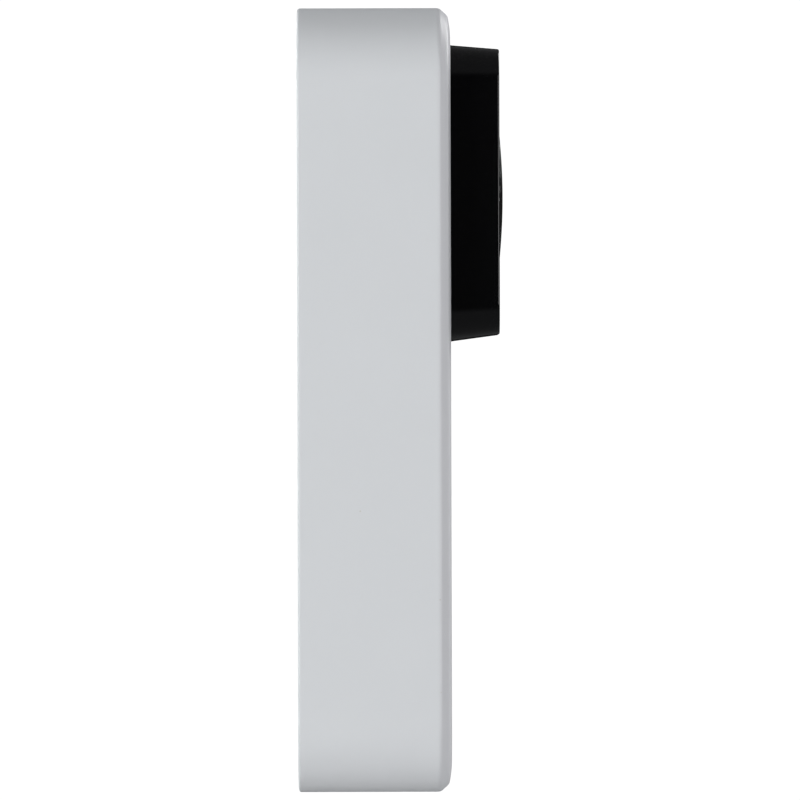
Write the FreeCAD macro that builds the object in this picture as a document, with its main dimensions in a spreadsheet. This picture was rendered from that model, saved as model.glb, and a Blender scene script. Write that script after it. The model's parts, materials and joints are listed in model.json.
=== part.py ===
import FreeCAD, Part
import math
import operator
import os
import Sketcher

# A wall-mounted video doorbell, in millimetres.
# +Z is up, +X is to the right of someone facing the front, and the front looks along -Y.
# The origin is on the wall, at the middle of the body's height and width.  A depth is the
# distance out from the wall, so a point at depth d stands at y = -d.

Vector = FreeCAD.Vector
doc = FreeCAD.newDocument("video_doorbell")
sheet = doc.addObject("Spreadsheet::Sheet", "dims")

OPERATORS = {"+": operator.add, "-": operator.sub, "*": operator.mul, "/": operator.truediv}
TINY = 1e-6


class Size:
    """A length, with the formula that works it out from the sheet."""

    def __init__(self, number, formula):
        self.number = float(number)
        self.formula = formula

    def __add__(self, other):
        return join(self, "+", other)

    def __radd__(self, other):
        return join(other, "+", self)

    def __sub__(self, other):
        return join(self, "-", other)

    def __rsub__(self, other):
        return join(other, "-", self)

    def __mul__(self, other):
        return join(self, "*", other)

    def __rmul__(self, other):
        return join(other, "*", self)

    def __truediv__(self, other):
        return join(self, "/", other)

    def __neg__(self):
        return join(-1, "*", self)


def size(thing):
    """Give a plain number the same form as a named size."""
    if isinstance(thing, Size):
        return thing
    return Size(thing, "%.6f" % thing)


def join(left, sign, right):
    left = size(left)
    right = size(right)
    number = OPERATORS[sign](left.number, right.number)
    return Size(number, "(%s %s %s)" % (left.formula, sign, right.formula))


def driving(name, number):
    """Put one driving dimension in the next row of the sheet and give it back as a Size."""
    driving.row += 1
    sheet.set("A%d" % driving.row, name)
    sheet.set("B%d" % driving.row, str(number))
    sheet.setAlias("B%d" % driving.row, name)
    return Size(number, "dims." + name)


driving.row = 0

# ---------------------------------------------------------------- driving dimensions

# body
body_width = driving("body_width", 43)
body_height = driving("body_height", 130)
body_depth = driving("body_depth", 25.4)
body_corner = driving("body_corner", 12)
front_bevel = driving("front_bevel", 1.6)
bevel_soft = driving("bevel_soft", 0.7)
back_soft = driving("back_soft", 0.5)
lip_soft = driving("lip_soft", 0.2)
front_wall = driving("front_wall", 2.4)
side_wall = driving("side_wall", 3.0)
end_wall = driving("end_wall", 4.5)
cavity_corner = driving("cavity_corner", 8.5)
rim_wall = driving("rim_wall", 1.5)
rim_end_wall = driving("rim_end_wall", 3.0)
rim_corner = driving("rim_corner", 9.5)
bracket_room = driving("bracket_room", 5.6)

# back cover
cover_thick = driving("cover_thick", 1.8)
gasket_thick = driving("gasket_thick", 0.5)
gasket_width = driving("gasket_width", 0.9)
cover_gap = driving("cover_gap", 0.2)
cover_boss_radius = driving("cover_boss_radius", 2.5)
cover_boss_inset = driving("cover_boss_inset", 5.3)
cover_boss_end = driving("cover_boss_end", 11)
cover_screw_radius = driving("cover_screw_radius", 0.95)
cover_head_radius = driving("cover_head_radius", 1.8)
cover_head_thick = driving("cover_head_thick", 1.0)
cover_screw_grip = driving("cover_screw_grip", 6)

# wall bracket
bracket_thick = driving("bracket_thick", 2.0)
bracket_gap = driving("bracket_gap", 0.5)
bracket_corner = driving("bracket_corner", 9)
wall_hole_spacing = driving("wall_hole_spacing", 89)
wall_hole_radius = driving("wall_hole_radius", 2.2)
wall_sink_radius = driving("wall_sink_radius", 4.0)
wall_sink_depth = driving("wall_sink_depth", 1.2)
wire_opening_width = driving("wire_opening_width", 24)
wire_opening_height = driving("wire_opening_height", 28)
wire_opening_corner = driving("wire_opening_corner", 3)
hook_width = driving("hook_width", 16)
hook_thick = driving("hook_thick", 1.2)
hook_front = driving("hook_front", 4.4)
hook_bite = driving("hook_bite", 0.6)
hook_root = driving("hook_root", 3.5)
groove_rise = driving("groove_rise", 1.2)
groove_lip = driving("groove_lip", 2.4)
foot_width = driving("foot_width", 10)
foot_front = driving("foot_front", 5.2)
foot_height = driving("foot_height", 4.4)
rib_thick = driving("rib_thick", 1.2)
rib_rise = driving("rib_rise", 0.9)

# security screw, upright in the bracket's foot
lock_depth = driving("lock_depth", 2.8)
lock_radius = driving("lock_radius", 1.25)
lock_head_radius = driving("lock_head_radius", 2.2)
lock_head_thick = driving("lock_head_thick", 1.3)
lock_sink = driving("lock_sink", 1.6)
lock_room = driving("lock_room", 0.4)
lock_grip = driving("lock_grip", 4.0)
insert_radius = driving("insert_radius", 1.75)

# camera island
island_width = driving("island_width", 30.8)
island_height = driving("island_height", 49.2)
island_corner = driving("island_corner", 6.2)
island_margin = driving("island_margin", 6.1)
island_rise = driving("island_rise", 8.1)
island_side_draft = driving("island_side_draft", 0.95)
island_top_draft = driving("island_top_draft", 0.73)
island_bottom_draft = driving("island_bottom_draft", 1.17)
island_soft = driving("island_soft", 0.3)
island_wall = driving("island_wall", 1.8)
island_floor = driving("island_floor", 1.3)
seat_depth = driving("seat_depth", 0.8)
seat_gap = driving("seat_gap", 0.08)
shell_seal_thick = driving("shell_seal_thick", 0.2)
shell_seal_width = driving("shell_seal_width", 1.5)
shell_boss_radius = driving("shell_boss_radius", 2.3)
shell_boss_spread = driving("shell_boss_spread", 18)
shell_boss_inset = driving("shell_boss_inset", 3.7)
window_margin = driving("window_margin", 1.0)
window_thick = driving("window_thick", 1.4)
window_gap = driving("window_gap", 0.06)

# lens
lens_drop = driving("lens_drop", 0.5)
dome_radius = driving("dome_radius", 10.2)
dome_gap = driving("dome_gap", 0.08)
dome_step = driving("dome_step", 0.15)
dome_crown = driving("dome_crown", 0.5)
dome_seal_thick = driving("dome_seal_thick", 0.2)
dome_seal_width = driving("dome_seal_width", 1.0)
baffle_wall = driving("baffle_wall", 1.1)
baffle_length = driving("baffle_length", 4.6)
barrel_radius = driving("barrel_radius", 6.0)
barrel_head_lip = driving("barrel_head_lip", 1.0)
barrel_head_length = driving("barrel_head_length", 6.3)
barrel_length = driving("barrel_length", 12.4)
barrel_setback = driving("barrel_setback", 1.8)
barrel_wall = driving("barrel_wall", 1.6)
front_element_inset = driving("front_element_inset", 1.4)
front_element_thick = driving("front_element_thick", 1.5)
rear_element_thick = driving("rear_element_thick", 2.2)
baffle_gap = driving("baffle_gap", 0.3)
lens_hole_gap = driving("lens_hole_gap", 0.6)

# camera board and night filter
sensor_distance = driving("sensor_distance", 3.3)
camera_board_thick = driving("camera_board_thick", 1.0)
camera_board_width = driving("camera_board_width", 22)
camera_board_above = driving("camera_board_above", 19.2)
camera_board_below = driving("camera_board_below", 11.3)
camera_post_reach = driving("camera_post_reach", 9.3)
post_radius = driving("post_radius", 1.9)
small_screw_radius = driving("small_screw_radius", 0.7)
small_head_radius = driving("small_head_radius", 1.4)
small_head_thick = driving("small_head_thick", 1.1)
small_screw_grip = driving("small_screw_grip", 4)
thread_gap = driving("thread_gap", 0.05)
hole_gap = driving("hole_gap", 0.2)
sensor_width = driving("sensor_width", 5.4)
sensor_height = driving("sensor_height", 4.2)
sensor_thick = driving("sensor_thick", 0.7)
holder_wall = driving("holder_wall", 1.0)
holder_length = driving("holder_length", 7)
holder_well = driving("holder_well", 1.7)
holder_well_width = driving("holder_well_width", 8.6)
filter_thick = driving("filter_thick", 0.8)
filter_gap = driving("filter_gap", 0.3)
filter_width = driving("filter_width", 8.8)
filter_pane = driving("filter_pane", 4.6)
filter_travel = driving("filter_travel", 5.5)
filter_edge = driving("filter_edge", 1.1)
filter_slide_gap = driving("filter_slide_gap", 0.5)
tab_width = driving("tab_width", 3.6)
rotor_arm = driving("rotor_arm", 7)
rotor_rise = driving("rotor_rise", 15)
rotor_radius = driving("rotor_radius", 2.4)
rotor_pin_radius = driving("rotor_pin_radius", 0.5)
rotor_shaft_radius = driving("rotor_shaft_radius", 0.5)
rotor_shaft_gap = driving("rotor_shaft_gap", 0.08)
rotor_arm_thick = driving("rotor_arm_thick", 0.7)
coil_width = driving("coil_width", 5.6)
coil_height = driving("coil_height", 5.2)
coil_reach = driving("coil_reach", 3.6)
coil_base_thick = driving("coil_base_thick", 0.4)

# infrared board, behind the window
led_board_room = driving("led_board_room", 1.8)
led_board_thick = driving("led_board_thick", 1.0)
led_board_width = driving("led_board_width", 25.6)
led_board_height = driving("led_board_height", 36)
led_board_corner = driving("led_board_corner", 3)
led_width = driving("led_width", 2.8)
led_thick = driving("led_thick", 1.4)
led_across = driving("led_across", 9)
led_along = driving("led_along", 14)
led_port_radius = driving("led_port_radius", 1.9)
light_sensor_rise = driving("light_sensor_rise", 15.5)
light_sensor_width = driving("light_sensor_width", 2)
light_sensor_thick = driving("light_sensor_thick", 0.8)
microphone_drop = driving("microphone_drop", 15.2)
microphone_width = driving("microphone_width", 3.5)
microphone_height = driving("microphone_height", 2.6)
microphone_thick = driving("microphone_thick", 1.0)
microphone_port = driving("microphone_port", 0.5)
boot_radius = driving("boot_radius", 1.8)
stake_radius = driving("stake_radius", 0.7)
stake_across = driving("stake_across", 11.2)
stake_along = driving("stake_along", 6)
stake_shoulder = driving("stake_shoulder", 1.3)

# main board
main_board_thick = driving("main_board_thick", 1.2)
main_board_width = driving("main_board_width", 26.4)
main_board_gap = driving("main_board_gap", 0.5)
main_board_below = driving("main_board_below", 7)
main_post_across = driving("main_post_across", 11.2)
main_post_drop = driving("main_post_drop", 3)
main_post_clear = driving("main_post_clear", 4.4)
processor_width = driving("processor_width", 16.4)
processor_height = driving("processor_height", 16.5)
processor_drop = driving("processor_drop", 22.8)
shield_thick = driving("shield_thick", 1.9)
shield_skin = driving("shield_skin", 0.2)
radio_width = driving("radio_width", 12)
radio_height = driving("radio_height", 11.5)
radio_rise = driving("radio_rise", 12.8)
capacitor_radius = driving("capacitor_radius", 2.4)
capacitor_length = driving("capacitor_length", 3.9)
capacitor_across = driving("capacitor_across", 9.4)
capacitor_rise = driving("capacitor_rise", 1)
inductor_width = driving("inductor_width", 4)
inductor_thick = driving("inductor_thick", 2.0)
inductor_across = driving("inductor_across", 7.5)
inductor_rise = driving("inductor_rise", 17)
antenna_inner = driving("antenna_inner", 6)
antenna_outer = driving("antenna_outer", 12.6)
antenna_border = driving("antenna_border", 0.4)
antenna_width = driving("antenna_width", 3.4)
antenna_stand = driving("antenna_stand", 2.6)
antenna_skin = driving("antenna_skin", 0.3)
connector_depth = driving("connector_depth", 2.4)
connector_rise = driving("connector_rise", 2.1)
cable_width = driving("cable_width", 5.2)
cable_thick = driving("cable_thick", 0.3)
cable_border = driving("cable_border", 0.3)
camera_cable_middle = driving("camera_cable_middle", -3.6)
camera_cable_drop = driving("camera_cable_drop", 6.7)
camera_cable_rise = driving("camera_cable_rise", 1.5)
led_cable_middle = driving("led_cable_middle", 4.5)
led_cable_drop = driving("led_cable_drop", 4)

# wire terminals
terminal_across = driving("terminal_across", 6)
terminal_height = driving("terminal_height", 5.5)
terminal_radius = driving("terminal_radius", 2.2)
terminal_flange_radius = driving("terminal_flange_radius", 3.2)
terminal_proud = driving("terminal_proud", 0.6)
terminal_thread = driving("terminal_thread", 1.45)
terminal_head_radius = driving("terminal_head_radius", 2.8)
terminal_head_thick = driving("terminal_head_thick", 1.8)
terminal_grip = driving("terminal_grip", 4.4)
divider_width = driving("divider_width", 1.2)
divider_height = driving("divider_height", 9)
divider_rise = driving("divider_rise", 2.4)

# reset button, reached from behind
reset_across = driving("reset_across", 8)
reset_rise = driving("reset_rise", 3)
reset_radius = driving("reset_radius", 1.5)
reset_gap = driving("reset_gap", 0.3)
reset_flange_radius = driving("reset_flange_radius", 2.3)
reset_flange_thick = driving("reset_flange_thick", 0.5)
reset_proud = driving("reset_proud", 0.4)
reset_switch_width = driving("reset_switch_width", 3.4)
reset_switch_thick = driving("reset_switch_thick", 1.0)
reset_dome_radius = driving("reset_dome_radius", 1.3)
reset_dome_thick = driving("reset_dome_thick", 0.4)
rest_gap = driving("rest_gap", 0.05)

# call button
button_rise = driving("button_rise", 34)
button_radius = driving("button_radius", 9.4)
button_gap = driving("button_gap", 0.3)
button_inset = driving("button_inset", 0.15)
button_dish = driving("button_dish", 0.15)
button_edge = driving("button_edge", 0.3)
button_travel = driving("button_travel", 0.5)
button_skin = driving("button_skin", 1.6)
button_flange_thick = driving("button_flange_thick", 1.0)
button_stem_radius = driving("button_stem_radius", 2.2)
button_wall = driving("button_wall", 1.0)
light_band = driving("light_band", 2.0)
light_inset = driving("light_inset", 0.1)
light_gap = driving("light_gap", 0.1)
light_flange = driving("light_flange", 1.5)
light_flange_thick = driving("light_flange_thick", 1.2)
light_skirt_length = driving("light_skirt_length", 3.8)
light_skirt_wall = driving("light_skirt_wall", 0.8)
membrane_thick = driving("membrane_thick", 0.5)
membrane_bead = driving("membrane_bead", 0.5)
membrane_nub = driving("membrane_nub", 0.3)
plunger_radius = driving("plunger_radius", 1.1)
plunger_length = driving("plunger_length", 1.05)
plunger_gap = driving("plunger_gap", 0.05)
switch_width = driving("switch_width", 5.2)
switch_thick = driving("switch_thick", 1.2)
frame_wall = driving("frame_wall", 1.6)
frame_corner = driving("frame_corner", 4)
frame_gap = driving("frame_gap", 0.3)
frame_thick = driving("frame_thick", 5.0)
button_board_thick = driving("button_board_thick", 1.2)
button_screw_inset = driving("button_screw_inset", 2.3)
button_boss_radius = driving("button_boss_radius", 2.0)
ring_led_count = 8
ring_led_width = driving("ring_led_width", 1.2)
ring_led_thick = driving("ring_led_thick", 0.8)
mezzanine_width = driving("mezzanine_width", 7)

# loudspeaker, looking down through the bottom wall
speaker_width = driving("speaker_width", 18)
speaker_deep = driving("speaker_deep", 10)
speaker_level = driving("speaker_level", 15)
speaker_thick = driving("speaker_thick", 5)
speaker_wall = driving("speaker_wall", 1.4)
speaker_well = driving("speaker_well", 3.0)
speaker_corner = driving("speaker_corner", 1.5)
speaker_mesh_thick = driving("speaker_mesh_thick", 0.3)
speaker_gasket_thick = driving("speaker_gasket_thick", 0.6)
cone_gap = driving("cone_gap", 0.4)
cone_thick = driving("cone_thick", 0.5)
cone_setback = driving("cone_setback", 0.8)
coil_former_width = driving("coil_former_width", 4.4)
coil_former_length = driving("coil_former_length", 1.0)
magnet_width = driving("magnet_width", 10)
magnet_deep = driving("magnet_deep", 6)
magnet_proud = driving("magnet_proud", 0.4)
grille_slots = 5
grille_pitch = driving("grille_pitch", 2.6)
grille_slot_width = driving("grille_slot_width", 1.3)
grille_slot_length = driving("grille_slot_length", 7)
lead_radius = driving("lead_radius", 0.45)
lead_spread = driving("lead_spread", 1.3)
lead_inset = driving("lead_inset", 1.0)
lead_run = driving("lead_run", 3.6)

# ---------------------------------------------------------------- sizes worked out

half_width = body_width / 2
half_height = body_height / 2
cover_level = bracket_room
gasket_level = cover_level + cover_thick
ledge_level = gasket_level + gasket_thick
wall_level = body_depth - front_wall
recess_half_width = half_width - rim_wall
recess_half_height = half_height - rim_end_wall
cavity_half_width = half_width - side_wall
cavity_half_height = half_height - end_wall
cover_half_width = recess_half_width - cover_gap
cover_half_height = recess_half_height - cover_gap
bracket_half_width = recess_half_width - bracket_gap
bracket_half_height = recess_half_height - bracket_gap

island_middle = half_height - island_margin - island_height / 2
island_top = island_middle + island_height / 2
island_bottom = island_middle - island_height / 2
island_front = body_depth + island_rise
seat_level = body_depth - seat_depth
shell_level = seat_level + shell_seal_thick
window_level = island_front - window_thick
island_floor_level = window_level - island_floor
lens_height = island_middle - lens_drop
dome_level = window_level + dome_seal_thick
barrel_front = window_level - barrel_setback
barrel_back = barrel_front - barrel_length
barrel_head_radius = barrel_radius + barrel_head_lip
barrel_bore = barrel_radius - barrel_wall
front_element_radius = barrel_head_radius - front_element_inset
baffle_radius = barrel_head_radius + baffle_gap + baffle_wall
holder_width = 2 * (barrel_radius + holder_wall)

camera_board_front = barrel_back - sensor_distance
camera_board_level = camera_board_front - camera_board_thick
filter_slot_level = camera_board_front + holder_well
filter_level = filter_slot_level + filter_gap
filter_slot_length = filter_thick + 2 * filter_gap
led_board_front = island_floor_level - led_board_room
led_board_level = led_board_front - led_board_thick

light_radius = button_radius + button_gap + light_band
light_flange_radius = light_radius + light_flange
light_skirt_radius = light_radius - light_skirt_wall
button_flange_radius = light_skirt_radius - button_gap
frame_width = 2 * (light_radius + frame_gap + frame_wall)
ring_led_reach = light_radius - ring_led_width / 2
button_height = button_rise - half_height
button_screw_reach = frame_width / 2 - button_screw_inset

main_board_level = ledge_level + inductor_thick
main_board_front = main_board_level + main_board_thick
main_board_top = lens_height - camera_board_below - main_board_gap
main_board_bottom = button_height - main_board_below
main_post_high = main_board_top - main_post_drop
main_post_low = button_height + frame_width / 2 + main_post_clear
processor_middle = main_board_top - processor_drop
radio_middle = button_height + radio_rise
capacitor_middle = button_height + capacitor_rise
inductor_middle = button_height + inductor_rise
antenna_low = main_board_bottom + antenna_border
camera_cable_low = main_board_top - camera_cable_drop
camera_cable_high = lens_height - camera_board_below + camera_cable_rise
led_cable_height = main_board_top - led_cable_drop
reset_height = button_height + reset_rise

light_flange_level = wall_level - light_flange_thick
light_skirt_level = light_flange_level - light_skirt_length
frame_level = light_flange_level - frame_thick
button_board_level = frame_level - button_board_thick
button_front = body_depth - button_inset
button_flange_front = light_flange_level - rest_gap
button_flange_back = button_flange_front - button_flange_thick
switch_front = frame_level + switch_thick
plunger_front = switch_front + button_travel + 2 * rest_gap
membrane_level = plunger_front + membrane_nub
membrane_front = membrane_level + membrane_thick

speaker_mesh_low = -cavity_half_height
speaker_gasket_low = speaker_mesh_low + speaker_mesh_thick
speaker_low = speaker_gasket_low + speaker_gasket_thick
speaker_high = speaker_low + speaker_thick
cone_low = speaker_low + cone_setback
lead_level = speaker_level + speaker_deep / 2 - lead_inset
lead_bend_height = speaker_high + lead_run

SIDES = (-1, 1)
cover_screw_places = [
    (side * (half_width - cover_boss_inset), row * (half_height - cover_boss_end))
    for side in SIDES
    for row in (-1, 0, 1)
]
shell_screw_places = [
    (side * shell_boss_spread / 2, island_middle + row * (island_height / 2 - shell_boss_inset))
    for side in SIDES
    for row in SIDES
]
camera_screw_places = [
    (side * camera_post_reach, lens_height + row * camera_post_reach)
    for side in SIDES
    for row in SIDES
]
main_screw_places = [
    (side * main_post_across, height) for side in SIDES for height in (main_post_low, main_post_high)
]
button_screw_places = [
    (side * button_screw_reach, button_height + row * button_screw_reach)
    for side in SIDES
    for row in SIDES
]
led_places = [
    (side * led_across, lens_height + row * led_along) for side in SIDES for row in SIDES
]
stake_places = [
    (side * stake_across, lens_height + row * stake_along) for side in SIDES for row in SIDES
]

# ---------------------------------------------------------------- outlines and pieces

# Plane of the body's origin, and the sign of each drawn direction on it.
PLANES = {
    "front": ("XZ_Plane", 1, 1),  # x and height, at a depth
    "level": ("XY_Plane", 1, -1),  # x and depth, at a height
    "side": ("YZ_Plane", -1, 1),  # depth and height (or radius), at an x
}
START = 1
END = 2
CENTRE = 3
ORIGIN_POINT = (-1, 1)


class Outline:
    """Closed loops on one plane of a piece, each point and radius bound to the sheet."""

    def __init__(self, body, plane, level):
        role, self.turn_u, self.turn_v = PLANES[plane]
        self.sketch = body.newObject("Sketcher::SketchObject", "outline")
        support = [part for part in body.Origin.OriginFeatures if part.Role == role][0]
        self.sketch.AttachmentSupport = [(support, "")]
        self.sketch.MapMode = "FlatFace"
        self.sketch.setExpression("AttachmentOffset.Base.z", size(level).formula)

    def bind(self, constraint, length):
        index = self.sketch.addConstraint(constraint)
        self.sketch.setExpression("Constraints[%d]" % index, length.formula)

    def turned(self, point):
        return size(point[0]) * self.turn_u, size(point[1]) * self.turn_v

    def pin(self, curve, end, point):
        u, v = self.turned(point)
        self.bind(Sketcher.Constraint("DistanceX", *ORIGIN_POINT, curve, end, u.number), u)
        self.bind(Sketcher.Constraint("DistanceY", *ORIGIN_POINT, curve, end, v.number), v)

    def spot(self, point):
        u, v = self.turned(point)
        return Vector(u.number, v.number, 0)

    def circle(self, point, radius):
        radius = size(radius)
        shape = Part.Circle(self.spot(point), Vector(0, 0, 1), radius.number)
        curve = self.sketch.addGeometry(shape)
        self.pin(curve, CENTRE, point)
        self.bind(Sketcher.Constraint("Radius", curve, radius.number), radius)
        return self

    def circles(self, points, radius):
        for point in points:
            self.circle(point, radius)
        return self

    def polygon(self, *points):
        lines = []
        for index, point in enumerate(points):
            following = points[(index + 1) % len(points)]
            line = Part.LineSegment(self.spot(point), self.spot(following))
            lines.append(self.sketch.addGeometry(line))
        for index, point in enumerate(points):
            ahead = lines[(index + 1) % len(lines)]
            self.sketch.addConstraint(Sketcher.Constraint("Coincident", lines[index], END, ahead, START))
            self.pin(lines[index], START, point)
        return self

    def rectangle(self, low, high):
        """A rectangle between two corners."""
        return self.polygon(low, (high[0], low[1]), high, (low[0], high[1]))

    def block(self, middle, width, height):
        """A rectangle round a middle point."""
        return self.rectangle(
            (middle[0] - width / 2, middle[1] - height / 2),
            (middle[0] + width / 2, middle[1] + height / 2),
        )

    def rounded(self, low, high, radius):
        """A rectangle with its four corners rounded, drawn round counter-clockwise."""
        radius = size(radius)
        centres = (
            (low[0] + radius, low[1] + radius),
            (high[0] - radius, low[1] + radius),
            (high[0] - radius, high[1] - radius),
            (low[0] + radius, high[1] - radius),
        )
        spots = [self.spot(centre) for centre in centres]
        if self.turn_u * self.turn_v < 0:
            spots.reverse()
            centres = tuple(reversed(centres))
        middle = (spots[0] + spots[2]) * 0.5
        arcs = []
        for spot in spots:
            outward = Vector(math.copysign(1, spot.x - middle.x), math.copysign(1, spot.y - middle.y), 0)
            turn = math.atan2(outward.y, outward.x)
            circle = Part.Circle(spot, Vector(0, 0, 1), radius.number)
            quarter = Part.ArcOfCircle(circle, turn - math.pi / 4, turn + math.pi / 4)
            arcs.append(self.sketch.addGeometry(quarter))
        lines = []
        for index, arc in enumerate(arcs):
            ahead = arcs[(index + 1) % len(arcs)]
            begin = self.sketch.Geometry[arc].EndPoint
            finish = self.sketch.Geometry[ahead].StartPoint
            lines.append(self.sketch.addGeometry(Part.LineSegment(begin, finish)))
        for index, arc in enumerate(arcs):
            ahead = arcs[(index + 1) % len(arcs)]
            line = lines[index]
            self.sketch.addConstraint(Sketcher.Constraint("Tangent", arc, END, line, START))
            self.sketch.addConstraint(Sketcher.Constraint("Tangent", line, END, ahead, START))
        for index, arc in enumerate(arcs):
            self.pin(arc, CENTRE, centres[index])
            self.bind(Sketcher.Constraint("Radius", arc, radius.number), radius)
        return self

    def frame(self, low, high, radius, band):
        """Two rounded rectangles, one inside the other, a band apart."""
        self.rounded(low, high, radius)
        inner_low = (low[0] + band, low[1] + band)
        inner_high = (high[0] - band, high[1] - band)
        return self.rounded(inner_low, inner_high, radius - band)


cuts = []
pieces = []


class Piece:
    """One physical piece: a body made of pads, pockets and turned features."""

    def __init__(self, label):
        self.body = doc.addObject("PartDesign::Body", label)
        self.body.Label = label
        pieces.append(self.body)

    def outline(self, plane, level):
        return Outline(self.body, plane, level)

    def feature(self, kind, outline):
        made = self.body.newObject("PartDesign::" + kind, kind.lower())
        made.Profile = outline.sketch
        outline.sketch.Visibility = False
        return made

    def pad(self, outline, length):
        """Add material from the outline's plane along its positive direction."""
        made = self.feature("Pad", outline)
        made.setExpression("Length", size(length).formula)
        return self

    def pocket(self, outline, length):
        """Take material away from the outline's plane along its positive direction."""
        base = self.body.Tip
        made = self.feature("Pocket", outline)
        made.Reversed = True
        made.setExpression("Length", size(length).formula)
        cuts.append((base, made))
        return self

    def turn(self, outline, axis="H_Axis", kind="Revolution"):
        made = self.feature(kind, outline)
        made.ReferenceAxis = (outline.sketch, [axis])
        made.Angle = 360
        return self

    def soften(self, kind, length, chosen):
        """Fillet or chamfer the edges that a test chooses."""
        doc.recompute()
        base = self.body.Tip
        names = ["Edge%d" % (k + 1) for k, edge in enumerate(base.Shape.Edges) if chosen(edge)]
        made = self.body.newObject("PartDesign::" + kind, kind.lower())
        made.Base = (base, names)
        made.setExpression("Radius" if kind == "Fillet" else "Size", size(length).formula)
        cuts.append((base, made))
        return self

    def at(self, x=0, depth=0, height=0):
        """Put the piece's own origin at a place."""
        self.body.setExpression("Placement.Base.x", size(x).formula)
        self.body.setExpression("Placement.Base.y", size(-1 * size(depth)).formula)
        self.body.setExpression("Placement.Base.z", size(height).formula)
        return self


def whole_edge_at_depth(depth):
    """A test for edges that lie wholly at one depth."""
    y = -size(depth).number

    def chosen(edge):
        box = edge.BoundBox
        return abs(box.YMin - y) < TINY * 100 and abs(box.YMax - y) < TINY * 100

    return chosen


def plate(label, low, high, radius, level, thick):
    """A flat piece with rounded corners, facing the front."""
    piece = Piece(label)
    return piece.pad(piece.outline("front", level).rounded(low, high, radius), thick)


def turned(label, *points):
    """A round piece about its own front-to-back axis, from points of depth and radius."""
    piece = Piece(label)
    return piece.turn(piece.outline("side", 0).polygon(*points))


def blocks(label, items):
    """Separate rectangular solids in one piece: (low corner, high corner, level, thickness)."""
    piece = Piece(label)
    for low, high, level, thick in items:
        piece.pad(piece.outline("front", level).rectangle(low, high), thick)
    return piece


def hexagon(middle, radius):
    """Points of a hexagon round a middle."""
    corners = 6
    points = []
    for index in range(corners):
        turn = 2 * math.pi * index / corners
        points.append((middle[0] + radius * math.cos(turn), middle[1] + radius * math.sin(turn)))
    return points


def front_screws(label, places, seat, grip, radius, head_radius, head_thick):
    """Screws driven from behind: heads behind the seat, shanks in front, hexagon sockets."""
    piece = Piece(label)
    piece.pad(piece.outline("front", seat - head_thick).circles(places, head_radius), head_thick)
    piece.pad(piece.outline("front", seat).circles(places, radius), grip)
    sockets = piece.outline("front", seat - head_thick)
    for place in places:
        sockets.polygon(*hexagon(place, head_radius * 0.5))
    return piece.pocket(sockets, head_thick * 0.6)


# ---------------------------------------------------------------- wall bracket and its screw


def make_wall_bracket():
    low = (-bracket_half_width, -bracket_half_height)
    high = (bracket_half_width, bracket_half_height)
    bracket = plate("wall_bracket", low, high, bracket_corner, 0, bracket_thick)
    hook_low = bracket_half_height - hook_root
    hook_top = recess_half_height + hook_bite
    stem = bracket.outline("front", bracket_thick)
    stem.rectangle((-hook_width / 2, hook_low), (hook_width / 2, bracket_half_height))
    bracket.pad(stem, hook_front - bracket_thick)
    tongue = bracket.outline("front", hook_front - hook_thick)
    tongue.rectangle((-hook_width / 2, hook_low), (hook_width / 2, hook_top))
    bracket.pad(tongue, hook_thick)
    foot = bracket.outline("front", bracket_thick)
    foot.rectangle(
        (-foot_width / 2, -bracket_half_height), (foot_width / 2, foot_height - bracket_half_height)
    )
    bracket.pad(foot, foot_front - bracket_thick)
    ribs = bracket.outline("front", bracket_thick)
    for side in SIDES:
        middle = side * (wire_opening_width / 2 + 2 * rib_thick)
        ribs.block((middle, terminal_height), rib_thick, wire_opening_height)
    bracket.pad(ribs, rib_rise)
    opening = bracket.outline("front", 0)
    opening.rounded(
        (-wire_opening_width / 2, terminal_height - wire_opening_height / 2),
        (wire_opening_width / 2, terminal_height + wire_opening_height / 2),
        wire_opening_corner,
    )
    bracket.pocket(opening, bracket_thick)
    holes = [(size(0), side * wall_hole_spacing / 2) for side in SIDES]
    bracket.pocket(bracket.outline("front", 0).circles(holes, wall_hole_radius), bracket_thick)
    sinks = bracket.outline("front", bracket_thick - wall_sink_depth)
    bracket.pocket(sinks.circles(holes, wall_sink_radius), wall_sink_depth)
    bore = bracket.outline("level", -bracket_half_height)
    bracket.pocket(bore.circle((size(0), lock_depth), insert_radius), foot_height)


def make_bracket_insert():
    insert = Piece("bracket_insert")
    ring = insert.outline("level", -bracket_half_height)
    ring.circle((size(0), lock_depth), insert_radius)
    ring.circle((size(0), lock_depth), lock_radius + thread_gap)
    insert.pad(ring, foot_height)


def make_security_screw():
    screw = Piece("security_screw")
    middle = (size(0), lock_depth)
    seat = lock_sink - half_height - rest_gap
    head = screw.outline("level", seat - lock_head_thick).circle(middle, lock_head_radius)
    screw.pad(head, lock_head_thick)
    shank_top = lock_grip - bracket_half_height
    screw.pad(screw.outline("level", seat).circle(middle, lock_radius), shank_top - seat)
    socket = screw.outline("level", seat - lock_head_thick).polygon(*hexagon(middle, lock_head_radius * 0.5))
    screw.pocket(socket, lock_head_thick * 0.6)
    pin = screw.outline("level", seat - lock_head_thick).circle(middle, lock_head_radius * 0.2)
    screw.pad(pin, lock_head_thick * 0.6)


# ---------------------------------------------------------------- housing and back cover


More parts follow.
